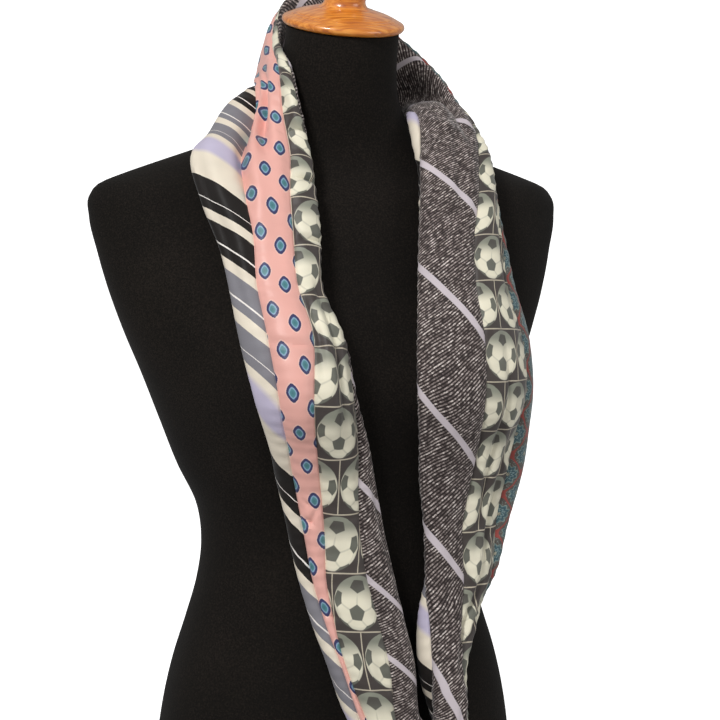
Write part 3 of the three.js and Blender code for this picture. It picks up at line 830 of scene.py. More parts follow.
@dataclass(frozen=True)
class BallSilk(ClothFinish):
    """Printed necktie silk with generic footballs, one in each square of a brick repeat.

    A ball is drawn from geometry alone: its panels are the faces of a truncated icosahedron, seen on a
    sphere, so a point belongs to the face whose plane it would reach first. The two distances are those of
    its pentagons and hexagons from its middle, in edges.
    """

    pentagon_distance: float = 2.32744
    hexagon_distance: float = 2.26728
    seen_above: float = -0.35
    panel_blur: float = 0.004
    panel_seam: float = 0.018
    panel_shade: float = 0.35
    cell: float = 47.5
    radius: float = 22.4
    line: float = 1.0
    tilt: float = -8.0
    roll: float = -6.0
    turn: float = -3.0
    ground: str = "#453e3b"
    rule: str = "#c2b8a4"
    cream: str = "#ece6cf"
    shaded: str = "#8b8d7f"
    pentagon: str = "#6a6b61"
    pentagon_top: str = "#524f49"

    def directions(self) -> tuple[np.ndarray, np.ndarray]:
        """The middles of the pentagons and of the hexagons on the unit sphere, turned to the ball's own pose.

        The pentagons are at an icosahedron's corners and the hexagons at its faces, where three corners meet.

        Returns:
            Two arrays with a row of X, Y and Z for each face that can be seen.
        """
        golden = (1 + math.sqrt(5)) / 2
        corners = []
        for a in (-1.0, 1.0):
            for b in (-golden, golden):
                corners += [(0, a, b), (a, b, 0), (b, 0, a)]
        pentagons = unit(np.array(corners))
        neighbours_above = 0.4
        near = pentagons @ pentagons.T > neighbours_above
        triples = [
            (i, j, k)
            for i, j, k in combinations(range(len(pentagons)), 3)
            if near[i, j] and near[j, k] and near[i, k]
        ]
        hexagons = unit(pentagons[np.array(triples)].sum(axis=1))
        x, y, z = np.radians([self.tilt, self.turn, self.roll])
        about_x = np.array([[1, 0, 0], [0, math.cos(x), -math.sin(x)], [0, math.sin(x), math.cos(x)]])
        about_y = np.array([[math.cos(y), 0, math.sin(y)], [0, 1, 0], [-math.sin(y), 0, math.cos(y)]])
        about_z = np.array([[math.cos(z), -math.sin(z), 0], [math.sin(z), math.cos(z), 0], [0, 0, 1]])
        pose = about_z @ about_y @ about_x
        seen = [block @ pose.T for block in (pentagons, hexagons)]
        return tuple(block[block[:, 2] > self.seen_above] for block in seen)

    def colour(self, pen: NodePen, place: Any) -> Any:
        """The ball, its squares and their thin ruled lines.

        Args:
            pen: the material's pen.
            place: the place on the strip in millimetres.

        Returns:
            The colour socket.
        """
        scaled = pen.add(VECTOR, place, named={3: 1 / self.cell}, operation="SCALE")
        parts = pen.add("ShaderNodeSeparateXYZ", scaled).node
        row = pen.add(MATH, parts.outputs[1], operation="FLOOR")
        parity = pen.add(MATH, row, 2.0, operation="MODULO")
        shift = pen.add(MATH, parity, 0.5, operation="MULTIPLY")
        column = pen.add(MATH, parts.outputs[0], shift, operation="ADD")
        brick = pen.add("ShaderNodeCombineXYZ", column, parts.outputs[1])
        whole = pen.add(VECTOR, brick, operation="FRACTION")
        local = pen.add(VECTOR, whole, (0.5, 0.5, 0.0), operation="SUBTRACT")
        ball = pen.add(VECTOR, local, named={3: self.cell / self.radius}, operation="SCALE")
        flat = pen.add("ShaderNodeSeparateXYZ", ball).node
        squared = pen.add(VECTOR, ball, ball, operation="DOT_PRODUCT", out=1)
        under = pen.add(MATH, 1.0, squared, operation="SUBTRACT")
        lifted = pen.add(MATH, pen.add(MATH, under, 0.0, operation="MAXIMUM"), operation="SQRT")
        sphere = pen.add("ShaderNodeCombineXYZ", flat.outputs[0], flat.outputs[1], lifted)

        pentagons, hexagons = self.directions()
        best_pentagon = None
        for face in pentagons / self.pentagon_distance:
            reach = pen.add(VECTOR, sphere, tuple(face), operation="DOT_PRODUCT", out=1)
            if best_pentagon is not None:
                reach = pen.add(MATH, best_pentagon, reach, operation="MAXIMUM")
            best_pentagon = reach
        best = second = None
        for face in hexagons / self.hexagon_distance:
            reach = pen.add(VECTOR, sphere, tuple(face), operation="DOT_PRODUCT", out=1)
            if best is None:
                best, second = reach, pen.add(MATH, reach, 0.2, operation="MULTIPLY")
                continue
            lesser = pen.add(MATH, best, reach, operation="MINIMUM")
            second = pen.add(MATH, second, lesser, operation="MAXIMUM")
            best = pen.add(MATH, best, reach, operation="MAXIMUM")

        lead = pen.add(MATH, best_pentagon, best, operation="SUBTRACT")
        dark = pen.add(RANGE, lead, -self.panel_blur, self.panel_blur, 0.0, 1.0)
        seam_lead = pen.add(MATH, best, second, operation="SUBTRACT")
        seam = pen.add(RANGE, seam_lead, 0.0, self.panel_seam, self.panel_shade, 0.0)
        top = pen.add(RANGE, flat.outputs[1], 0.05, 0.75, 0.0, 1.0, interpolation_type="SMOOTHSTEP")
        edge = pen.add(RANGE, squared, 0.72, 1.0, 0.0, self.panel_shade)
        shadow = pen.add(MATH, pen.add(MATH, top, edge, operation="MAXIMUM"), seam, operation="MAXIMUM")
        leather = pen.add(MIX, named={0: shadow, 6: paint(self.cream), 7: paint(self.shaded)}, **COLOURS)
        shades = {6: paint(self.pentagon), 7: paint(self.pentagon_top)}
        patch = pen.add(MIX, named={0: top, **shades}, **COLOURS)
        panelled = pen.add(MIX, named={0: dark, 6: leather, 7: patch}, **COLOURS)
        disc = pen.add(RANGE, squared, 0.96, 1.02, 1.0, 0.0)
        inner = pen.add(VECTOR, local, operation="ABSOLUTE")
        reach = pen.add("ShaderNodeSeparateXYZ", inner).node
        border = pen.add(MATH, reach.outputs[0], reach.outputs[1], operation="MAXIMUM")
        half_line = 0.5 - self.line / 2 / self.cell
        ruled = pen.add(RANGE, border, half_line - 0.004, half_line + 0.002, 0.0, 1.0)
        square = pen.add(MIX, named={0: ruled, 6: paint(self.ground), 7: paint(self.rule)}, **COLOURS)
        return pen.add(MIX, named={0: disc, 6: square, 7: panelled}, **COLOURS)


@dataclass(frozen=True)
class RosetteSilk(ClothFinish):
    """Printed necktie silk with rosettes between wavy red lines that cross in an ogee lattice.

    The print is small and busy, so it gives a dusty teal from afar and petals from near.
    """

    across: float = 27.0
    along: float = 36.0
    ground: str = "#57514c"
    red: str = "#97463f"
    dust: str = "#9fb0aa"
    petals: float = 10.0
    petal_depth: float = 0.9
    flower_size: float = 12.0

    def rosette(self, pen: NodePen, place: Any, shift: float) -> Any:
        """How far a place is from a rosette's middle.

        Args:
            pen: the material's pen.
            place: the place on the strip in millimetres.
            shift: what the lattice is moved by each way, as a share of the repeat.

        Returns:
            The distance from the nearest middle in millimetres, with the petals' waves added.
        """
        repeat = (1 / self.across, 1 / self.along, 0.0)
        scaled = pen.add(VECTOR, place, repeat, operation="MULTIPLY")
        moved = pen.add(VECTOR, scaled, (shift, shift, 0.0), operation="ADD")
        cell = pen.add(VECTOR, moved, (0.5, 0.5, 0.5), (-0.5, -0.5, -0.5), operation="WRAP")
        real = pen.add(VECTOR, cell, (self.across, self.along, 0.0), operation="MULTIPLY")
        distance = pen.add(VECTOR, real, operation="LENGTH", out=1)
        parts = pen.add("ShaderNodeSeparateXYZ", real).node
        angle = pen.add(MATH, parts.outputs[1], parts.outputs[0], operation="ARCTAN2")
        turns = pen.add(MATH, angle, self.petals, operation="MULTIPLY")
        petals = pen.add(MATH, turns, operation="COSINE")
        return pen.add(MATH, petals, self.petal_depth, distance, operation="MULTIPLY_ADD")

    def colour(self, pen: NodePen, place: Any) -> Any:
        """Rosettes, the red lattice and the speckled ground.

        Args:
            pen: the material's pen.
            place: the place on the strip in millimetres.

        Returns:
            The colour socket.
        """
        first = self.rosette(pen, place, 0.0)
        other = self.rosette(pen, place, 0.5)
        waved = pen.add(MATH, first, other, operation="MINIMUM")
        share = pen.add(MATH, waved, 1 / self.flower_size, operation="MULTIPLY")
        flower = pen.add(
            RAMP,
            share,
            stops=[
                (0.0, "#c3bba4"),
                (0.10, "#a9a592"),
                (0.14, "#2f444a"),
                (0.26, "#3b626b"),
                (0.34, "#84989a"),
                (0.40, "#314c55"),
                (0.58, "#415f67"),
                (0.66, "#7f918b"),
                (0.72, self.ground),
            ],
        )
        waves = []
        parts = pen.add("ShaderNodeSeparateXYZ", place).node
        for size, axis in ((self.across, 0), (self.along, 1)):
            turn = pen.add(MATH, parts.outputs[axis], 2 * math.pi / size, operation="MULTIPLY")
            waves.append(pen.add(MATH, turn, operation="COSINE"))
        total = pen.add(MATH, waves[0], waves[1], operation="ADD")
        off = pen.add(MATH, total, operation="ABSOLUTE")
        line = pen.add(RANGE, off, 0.13, 0.20, 1.0, 0.0)
        speck = pen.add(NOISE, named={"Vector": place, "Scale": 0.8, "Detail": 2.0})
        dots = pen.add(RANGE, speck, 0.56, 0.66, 0.0, 0.5)
        dusted = pen.add(MIX, named={0: dots, 6: flower, 7: paint(self.dust)}, **COLOURS)
        return pen.add(MIX, named={0: line, 6: dusted, 7: paint(self.red)}, **COLOURS)


@dataclass(frozen=True)
class TweedCloth(ClothFinish):
    """Silk and wool tweed: dark rows of twill with short light slubs, and thin lilac stripes across them.

    The rows run at right angles to the stripes, and each row has dashes of its own length.
    """

    slant: float = 38.0
    row_pitch: float = 2.5
    dash_length: float = 4.2
    stripe_pitch: float = 72.6
    stripe_width: float = 5.4
    stripe: str = "#cfc5ca"
    stripe_blur: float = 0.25
    drift: float = 3.0
    row_shift: float = 3.71
    tones: tuple[tuple[float, str], ...] = (
        (0.0, "#1f1a19"), (0.2, "#413837"), (0.45, "#706562"), (0.68, "#b0a49f"), (0.95, "#eee5df"),
    )

    def colour(self, pen: NodePen, place: Any) -> Any:
        """The rows with their dark gaps, the slubs of each row, and the stripes over them.

        A row's light rises from nothing at its gaps to its middle. It is multiplied by noise that is drawn
        out along the row and differs from row to row, and by finer noise that breaks the threads.

        Args:
            pen: the material's pen.
            place: the place on the print in millimetres.

        Returns:
            The colour socket.
        """
        turned = pen.add(
            "ShaderNodeVectorRotate",
            named={"Vector": place, "Angle": -math.radians(self.slant)},
            rotation_type="Z_AXIS",
        )
        parts = pen.add("ShaderNodeSeparateXYZ", turned).node
        warp = pen.add(NOISE, named={"Vector": place, "Scale": 0.025, "Detail": 0.0})
        drift = pen.add(RANGE, warp, 0.0, 1.0, -self.drift, self.drift)
        across = pen.add(MATH, parts.outputs[1], drift, operation="ADD")
        counted = pen.add(MATH, across, 1 / self.row_pitch, operation="MULTIPLY")
        row = pen.add(MATH, counted, operation="FLOOR")
        ridge = pen.add(MATH, counted, 0.5, operation="PINGPONG")
        lit = pen.add(RANGE, ridge, 0.10, 0.34, 0.04, 1.0)
        along = pen.add(MATH, parts.outputs[0], 1 / self.dash_length, operation="MULTIPLY")
        apart = pen.add(MATH, row, self.row_shift, operation="MULTIPLY")
        thread = pen.add("ShaderNodeCombineXYZ", along, apart)
        slubs = pen.add(NOISE, named={"Vector": thread, "Scale": 1.0, "Detail": 2.0})
        dashes = pen.add(RANGE, slubs, 0.34, 0.68, 0.26, 1.0)
        fleck = pen.add(NOISE, named={"Vector": place, "Scale": 0.8, "Detail": 1.0})
        specks = pen.add(RANGE, fleck, 0.35, 0.65, 0.62, 1.12)
        lit_dashes = pen.add(MATH, dashes, lit, operation="MULTIPLY")
        bright = pen.add(MATH, lit_dashes, specks, operation="MULTIPLY")
        cloth = pen.add(RAMP, bright, stops=self.tones)
        half = self.stripe_pitch / 2
        wrapped = pen.add(MATH, parts.outputs[0], half, -half, operation="WRAP")
        distance = pen.add(MATH, wrapped, operation="ABSOLUTE")
        edge = self.stripe_width / 2
        mask = pen.add(RANGE, distance, edge - self.stripe_blur, edge + self.stripe_blur, 1.0, 0.0)
        return pen.add(MIX, named={0: mask, 6: cloth, 7: paint(self.stripe)}, **COLOURS)


@dataclass(frozen=True)
class BlackJersey:
    """Cotton jersey, knitted and stretched over the form: a matt black with a brown cast and a fine nap.

    The knit's real pitch of about 0.7 mm is drawn at twice that, so that its grain shows.
    """

    name: str = "stretched cotton jersey"
    knit_pitch: float = 1.4
    knit_depth: float = 0.22
    roughness: float = 0.88

    def make(self) -> bpy.types.Material:
        """The material: two close blacks in a fleck, and the knit as bump."""
        pen = NodePen(self.name)
        metres = pen.add("ShaderNodeTexCoord", out=3)
        fleck = pen.add(NOISE, named={"Vector": metres, "Scale": 1 / (self.knit_pitch * MM), "Detail": 2.0})
        worn = pen.add(NOISE, named={"Vector": metres, "Scale": 9.0, "Detail": 2.0})
        both = pen.add(MATH, fleck, pen.add(MATH, worn, 0.5, operation="MULTIPLY"), operation="ADD")
        colour = pen.add(RAMP, both, stops=[(0.45, "#0c0a09"), (0.75, "#15120f"), (1.0, "#221d19")])
        bump = pen.add(
            "ShaderNodeBump", named={"Height": fleck, "Distance": self.knit_depth * MM, "Strength": 1.0}
        )
        shader = pen.add(
            "ShaderNodeBsdfPrincipled",
            named={
                "Base Color": colour,
                "Roughness": self.roughness,
                "Specular IOR Level": 0.12,
                "Sheen Weight": 0.02,
                "Sheen Roughness": 0.5,
                "Normal": bump,
            },
        )
        pen.add("ShaderNodeOutputMaterial", shader)
        return pen.material


@dataclass(frozen=True)
class VarnishedWood:
    """Turned hardwood under a clear varnish: warm orange-brown with streaks of darker grain, and glossy."""

    name: str = "varnished turned hardwood"
    grain_width: float = 3.0
    grain_length: float = 40.0
    grain_depth: float = 0.1
    roughness: float = 0.35

    def make(self) -> bpy.types.Material:
        """The material: noise drawn out along the grain, under a clear coat."""
        pen = NodePen(self.name)
        metres = pen.add("ShaderNodeTexCoord", out=3)
        narrow = 1 / (self.grain_width * MM)
        stretch = (1 / (self.grain_length * MM), narrow, narrow)
        grain_place = pen.add(VECTOR, metres, stretch, operation="MULTIPLY")
        grain = pen.add(NOISE, named={"Vector": grain_place, "Scale": 1.0, "Detail": 4.0, "Distortion": 0.4})
        colour = pen.add(
            RAMP, grain, stops=[(0.25, "#a04f14"), (0.45, "#d27a24"), (0.6, "#e6943a"), (0.8, "#f2ac55")]
        )
        bump = pen.add(
            "ShaderNodeBump", named={"Height": grain, "Distance": self.grain_depth * MM, "Strength": 0.4}
        )
        shader = pen.add(
            "ShaderNodeBsdfPrincipled",
            named={
                "Base Color": colour,
                "Roughness": self.roughness,
                "Coat Weight": 0.7,
                "Coat Roughness": 0.12,
                "Normal": bump,
            },
        )
        pen.add("ShaderNodeOutputMaterial", shader)
        return pen.material


@dataclass
class DressForm:
    """The limbless torso and neck under its jersey cover, with a seam down the middle of the back."""

    shape: TorsoShape
    rows: int = 190
    columns: int = 176
    base_round: float = 4.0
    seam_depth: float = 1.1
    seam_width: float = 2.2
    seam_columns: int = 9
    seam_reach: float = 0.04
    seam_clear: float = 0.045
    base_rings: int = 6

    def build(self) -> bpy.types.Object:
        """Make the torso: rings of points on the shape, drawn in at the seam and round the base's edge.

        The base's edge is a quarter circle, so a ring at height h below the radius r is drawn in by
        r - sqrt(r^2 - (r - h)^2). The seam is a bell-shaped groove along the back.

        Returns:
            The jersey-covered torso.
        """
        top, top_y, _ = self.shape.neck
        rounded = self.base_round * (1 - np.cos(np.linspace(0, np.pi / 2, self.base_rings + 1)))[:-1]
        heights = np.concatenate([rounded, np.linspace(self.base_round, top, self.rows)])
        even = np.linspace(0, 2 * np.pi, self.columns, endpoint=False)
        close = np.pi / 2 + np.linspace(-self.seam_reach, self.seam_reach, self.seam_columns)
        angles = np.sort(np.concatenate([even[np.abs(even - np.pi / 2) > self.seam_clear], close]))
        height, angle = np.meshgrid(heights, angles, indexing="ij")
        points = self.shape.points(height, angle)
        centre = np.stack([np.zeros_like(height), self.shape.ring_at(height)[..., CENTRE_Y], height], -1)
        out = unit(points - centre)
        short = np.clip(self.base_round - height, 0, None)
        drawn_in = self.base_round - np.sqrt(np.maximum(self.base_round**2 - short**2, 0))
        across = (angle - np.pi / 2) * np.linalg.norm(points - centre, axis=-1)
        groove = self.seam_depth * np.exp(-((across / self.seam_width) ** 2))
        points = points - out * (drawn_in + groove)[..., None]
        middles = np.array([[0.0, 0.0, 0.0], [0.0, top_y, top]])
        everything = np.vstack([points.reshape(-1, 3), middles])
        piece = write_mesh("torso_in_jersey", everything, capped_faces(*height.shape), sharp_degrees=50)
        piece.data.materials.append(BlackJersey().make())
        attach(piece, "root")
        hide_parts("form_body")
        return piece


@dataclass
class NeckCap:
    """The turned wooden cap that closes the neck, with a beaded rim, a cove and a knob."""

    shape: TorsoShape
    gap: float = 0.3
    segments: int = 112
    samples: int = 150
    groove_depth: float = 0.45
    groove_width: float = 0.5
    profile: tuple[tuple[float, float], ...] = (
        (0, 0), (46, 0), (49.5, 1.2), (51, 3.5), (50.4, 6), (47, 8), (38, 12), (26, 15.5), (18.5, 18.5),
        (17, 22), (18, 27), (21, 34), (23, 42), (22.5, 50), (18.5, 57), (11, 61.5), (0, 63),
    )
    groove_radii: tuple[float, ...] = (44.5, 41.0, 22.5)
    grooves_from: float = 8.5
    grooves_to: float = 20.0

    def outline(self) -> np.ndarray:
        """The profile as a smooth curve through its points, against the chord between them.

        Two thin grooves and one at the knob's foot are cut as bell curves in the height, where a turner's
        tool marks them on the upper face.

        Returns:
            One row of radius and height for each sample, without the two ends on the axis.
        """
        corners = np.array(self.profile, float)
        chord = np.concatenate([[0], np.cumsum(np.linalg.norm(np.diff(corners, axis=0), axis=1))])
        table = SmoothTable(chord, corners)
        keys = np.concatenate([[chord[1] * 0.5], np.linspace(chord[1], chord[-1], self.samples)[:-1]])
        curve = table.at(keys)
        curve[0] = (corners[1][0] * 0.5, 0.0)
        upper = curve[:, 1] > self.grooves_from
        for radius in self.groove_radii:
            cut = self.groove_depth * np.exp(-(((curve[:, 0] - radius) / self.groove_width) ** 2))
            curve[:, 1] -= np.where(upper & (curve[:, 1] < self.grooves_to), cut, 0)
        return curve

    def build(self) -> bpy.types.Object:
        """Turn the outline round the cap's axis, which leans forward with the neck.

        Returns:
            The wooden cap.
        """
        curve = self.outline()
        turn = np.linspace(0, 2 * np.pi, self.segments, endpoint=False)
        radius = curve[:, :1]
        flat_y = radius * np.sin(turn)
        upright = np.broadcast_to(curve[:, 1:] + self.gap, flat_y.shape)
        points = np.stack([radius * np.cos(turn), flat_y, upright], -1).reshape(-1, 3)
        ends = np.array([[0, 0, self.gap], [0, 0, self.profile[-1][1] + self.gap]])
        points = np.vstack([points, ends])
        top, centre_y, lean = self.shape.neck
        c, s = math.cos(math.radians(lean)), math.sin(math.radians(lean))
        leaning = np.array([[1, 0, 0], [0, c, -s], [0, s, c]])
        points = points @ leaning.T + np.array([0, centre_y, top])
        faces = capped_faces(len(curve), self.segments)
        piece = write_mesh("cap_turned", points, faces, sharp_degrees=50)
        piece.data.materials.append(VarnishedWood().make())
        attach(piece, "root")
        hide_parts("neck_cap")
        return piece


def swap_edges(station: Sequence[float], turn: float) -> tuple[float, ...]:
    """A station seen from the other half of the loop, where the rim and fall edges change places.

    Args:
        station: the station's twelve numbers.
        turn: the degrees that its strips' angles are turned by.

    Returns:
        The station's numbers for the other half.
    """
    arch = station[ARCH][0]
    starts = [angle + turn for angle in station[STARTS]]
    return (*station[FALL], *station[RIM], *station[DEPTH], -arch, *starts)


@dataclass
class HalfLoop:
    """Half of the scarf's loop: a flattened tube of four strips, from one end station to the other.

    A section's point at angle a is the centre + half width x cos a x (toward the rim)
    + (depth x sign(sin a) x |sin a|^fullness + arch x sin^2 a) x (inward).
    """

    side: Side
    shape: TorsoShape
    before: Sequence[float]
    stations: Sequence[Sequence[float]]
    after: Sequence[float]
    folds: dict[str, Crease]
    creases: dict[str, Crease]
    keys: np.ndarray = field(init=False)
    row_keys: np.ndarray = field(init=False)
    along: np.ndarray = field(init=False)
    to_rim: np.ndarray = field(init=False)
    inward: np.ndarray = field(init=False)
    centre: np.ndarray = field(init=False)
    half: np.ndarray = field(init=False)
    depth: np.ndarray = field(init=False)
    arch: np.ndarray = field(init=False)
    starts: np.ndarray = field(init=False)
    angles: np.ndarray = field(init=False)
    arc: np.ndarray = field(init=False)

    def __post_init__(self) -> None:
        """Space the stations by the chords of their middles, and work out every row's frame and arc."""
        everything = np.array([self.before, *self.stations, self.after], float)
        middles = (everything[:, RIM] + everything[:, FALL]) / 2
        self.keys = np.concatenate([[0], np.cumsum(np.linalg.norm(np.diff(middles, axis=0), axis=1))])
        table = SmoothTable(self.keys, everything)
        first, last = self.keys[1], self.keys[-2]
        self.row_keys = np.linspace(first, last, int(round((last - first) / ROW_SPACING)) + 1)
        found = table.at(self.row_keys)
        rim, fall = found[:, RIM], found[:, FALL]
        ahead, behind = table.at(self.row_keys + 1), table.at(self.row_keys - 1)
        self.along = unit((ahead[:, RIM] + ahead[:, FALL]) - (behind[:, RIM] + behind[:, FALL]))
        self.to_rim = unit(rim - fall)
        self.inward = unit(np.cross(self.along, self.to_rim))
        self.centre = (rim + fall) / 2
        self.half = np.linalg.norm(rim - fall, axis=1)[:, None] / 2
        self.depth = found[:, DEPTH]
        self.arch = found[:, ARCH]
        starts = found[:, STARTS]
        self.starts = np.column_stack([starts, starts[:, 0] + 360])
        self.angles = self.starts[:, :1] + np.linspace(0, 360, ARC_SAMPLES + 1)[None, :]
        ring = self.plain(self.angles)
        steps = np.linalg.norm(np.diff(ring, axis=1), axis=-1)
        self.arc = np.concatenate([np.zeros((len(steps), 1)), np.cumsum(steps, axis=1)], axis=1)

    def plain(self, angle: np.ndarray) -> np.ndarray:
        """Points of the smooth sections, for angles in degrees with a row for each section."""
        a = np.radians(angle)
        bulge = np.sign(np.sin(a)) * np.abs(np.sin(a)) ** SECTION_FULLNESS
        toward = (self.half * np.cos(a))[..., None] * self.to_rim[:, None]
        inside = (self.depth * bulge + self.arch * np.sin(a) ** 2)[..., None] * self.inward[:, None]
        return self.centre[:, None] + toward + inside

    def outward(self, angle: np.ndarray) -> np.ndarray:
        """The way out of the sections at angles in degrees, as for an ellipse."""
        a = np.radians(angle)
        toward = (self.depth * np.cos(a))[..., None] * self.to_rim[:, None]
        inside = (self.half * np.sin(a))[..., None] * self.inward[:, None]
        return unit(toward + inside)

    def arc_at(self, angle: np.ndarray) -> np.ndarray:
        """The arc from the tweed's first seam to an angle, with one angle or more for each row."""
        return self.row_by_row(angle, self.angles, self.arc)

    def angle_at(self, arc: np.ndarray) -> np.ndarray:
        """The angle at an arc from the tweed's first seam."""
        return self.row_by_row(arc, self.arc, self.angles)

    def row_by_row(self, wanted: np.ndarray, known: np.ndarray, values: np.ndarray) -> np.ndarray:
        """Read values between known places, each row by itself.

        The rows are laid end to end, far apart, so that one interpolation reads them all.

        Args:
            wanted: the places wanted, a row for each section.
            known: the places where values are known, rising along each row.
            values: the values there.

        Returns:
            The values at the wanted places.
        """
        apart = np.arange(len(known))[:, None] * ROWS_APART
        clipped = np.clip(wanted, known[:, :1], known[:, -1:])
        read = np.interp((clipped + apart).ravel(), (known + apart).ravel(), values.ravel())
        return read.reshape(wanted.shape)

    def key_of(self, station: float) -> float:
        """The key of a station's number, which may lie between two stations."""
        return float(np.interp(station, np.arange(len(self.stations)), self.keys[1:-1]))

    def crease_depth(self, angle: np.ndarray) -> np.ndarray:
        """The creases' summed depth at angles in degrees.

        A large fold's middle angle runs evenly from its first to its last, and its depth is
        depth x sin(pi t) x exp(-(across / width)^2), where t is the share of its length. A fine crease is
        the same about a straight line on the unrolled cloth, so it may run across the strip.

        Args:
            angle: the angles, a row for each section.

        Returns:
            The depths in millimetres, inward.
        """
        total = np.zeros(angle.shape)
        girth = self.arc[:, -1:] / 360
        key = self.row_keys[:, None]
        for fold in self.folds.values():
            start, end = self.key_of(fold.from_station), self.key_of(fold.to_station)
            t = np.clip((key - start) / (end - start), 0, 1)
            middle = fold.from_angle + (fold.to_angle - fold.from_angle) * t
            across = ((angle - middle + 180) % 360 - 180) * girth
            total += fold.depth * np.sin(np.pi * t) * np.exp(-((across / fold.width) ** 2))
        for crease in self.creases.values():
            start, end = self.key_of(crease.from_station), self.key_of(crease.to_station)
            away = ((angle - crease.from_angle + 180) % 360 - 180) * girth
            reach_across = (crease.to_angle - crease.from_angle) * girth
            reach_along = end - start
            length_squared = reach_across**2 + reach_along**2
            t = (away * reach_across + (key - start) * reach_along) / length_squared
            beside = (away * reach_along - (key - start) * reach_across) / np.sqrt(length_squared)
            shape = np.sin(np.pi * np.clip(t, 0, 1)) ** CREASE_ENDS
            total += crease.depth * shape * np.exp(-((beside / crease.width) ** 2))
        return total

    def strip(self, strip: Strip) -> tuple[np.ndarray, np.ndarray, np.ndarray]:
        """The outer and inner faces of one strip, and its map.

        Args:
            strip: which of the four.

        Returns:
            The outer points and the inner points, as grids of rows along the loop and columns across the
            strip, and the map in millimetres across and along, which reads upright on the hanging strand.
        """
        number = strip.value
        start = self.arc_at(self.starts[:, number : number + 1])
        end = self.arc_at(self.starts[:, number + 1 : number + 2])
        width = end - start
        wide = width[:, 0] >= TIP_WIDTH
        run = np.convolve(wide, np.ones(TIP_ROWS), "full")[TIP_ROWS - 1 :]
        first = int(np.argmax(run >= TIP_ROWS))
        columns = max(6, int(round(width.max() / COLUMN_SPACING)) + 1)
        even = np.linspace(0, 1, columns)[None, :]
        share = even - EDGE_CLOSENESS * np.sin(2 * np.pi * even) / (2 * np.pi)
        arc = start + width * share
        angle = self.angle_at(arc)
        angle[:, 0], angle[:, -1] = self.starts[:, number], self.starts[:, number + 1]
        outward = self.outward(angle)
        from_seam, to_seam = width * share, width * (1 - share)
        along = self.travel(angle[:, columns // 2])
        relief = self.relief(from_seam, to_seam, along[:, None], number)
        outer = self.plain(angle) + (relief - self.crease_depth(angle))[..., None] * outward
        outer = self.shape.keep_clear(outer)
        inner = outer - CLOTH_WALL * outward
        if self.side is Side.LEFT:
            places = np.stack([from_seam, np.broadcast_to(along[:, None], from_seam.shape)], -1)
        else:
            down = along[-1] - along
            places = np.stack([to_seam, np.broadcast_to(down[:, None], to_seam.shape)], -1)
        used = wide & (np.arange(len(width)) >= first)
        return outer[used], inner[used], places[used]

    def travel(self, angle: np.ndarray) -> np.ndarray:
        """The length walked along the loop at one angle for each row, from the first row."""
        track = self.plain(angle[:, None])[:, 0]
        return np.concatenate([[0], np.cumsum(np.linalg.norm(np.diff(track, axis=0), axis=1))])

    def relief(
        self, from_seam: np.ndarray, to_seam: np.ndarray, along: np.ndarray, number: int
    ) -> np.ndarray:
        """How far the silk stands out of the smooth section.

        It bows out as half a sine wave between its seams and sinks in a bell curve along each. Where two ties
        are pieced end to end it sinks across the strip. Slow waves cross it, and the seams' stitches pull
        small puckers into its edges and a narrow groove along them.

        Args:
            from_seam: the distance from the strip's first seam.
            to_seam: the distance to its last seam.
            along: the length along the loop.
            number: the strip's number, which sets how its waves lie.

        Returns:
            The relief in millimetres, outward.
        """
        width = from_seam + to_seam
        share = from_seam / np.maximum(width, 1e-6)
        narrow = np.minimum(1, width / (2 * VALLEY_WIDTH))
        near_seam = np.exp(-((from_seam / VALLEY_WIDTH) ** 2)) + np.exp(-((to_seam / VALLEY_WIDTH) ** 2))
        bow = STRIP_BOW * narrow * np.sin(np.pi * share)
        total = bow - SEAM_VALLEY * np.minimum(near_seam, 1)
        ends = np.minimum(along, along.max() - along)
        total = total - END_SEAM_VALLEY * np.exp(-((ends / END_SEAM_WIDTH) ** 2))
        phase = STRIP_PHASE * number + (RIGHT_PHASE if self.side is Side.RIGHT else 0.0)
        length, across, height = LONG_WAVE
        slow = np.sin(along / length + from_seam / across + phase) * height
        length, across, height = SHORT_WAVE
        sway = SHORT_PHASE * phase + WAVE_SWAY[0] * np.sin(along / WAVE_SWAY[1])
        slow = slow + np.sin(along / length - from_seam / across + sway) * height
        middle = np.sin(np.pi * share) * narrow
        total = total + slow * middle
        sway = PUCKER_SWAY[0] * np.sin(along / PUCKER_SWAY[1]) + phase
        pucker = np.sin(2 * np.pi * along / PUCKER_SPACING + sway)
        edge = np.minimum(from_seam, to_seam)
        beside = (edge / PUCKER_REACH) * np.exp(1 - edge / PUCKER_REACH)
        groove = STITCH_GROOVE * np.exp(-((edge / STITCH_WIDTH) ** 2))
        return total + PUCKER_HEIGHT * pucker * beside * narrow - groove


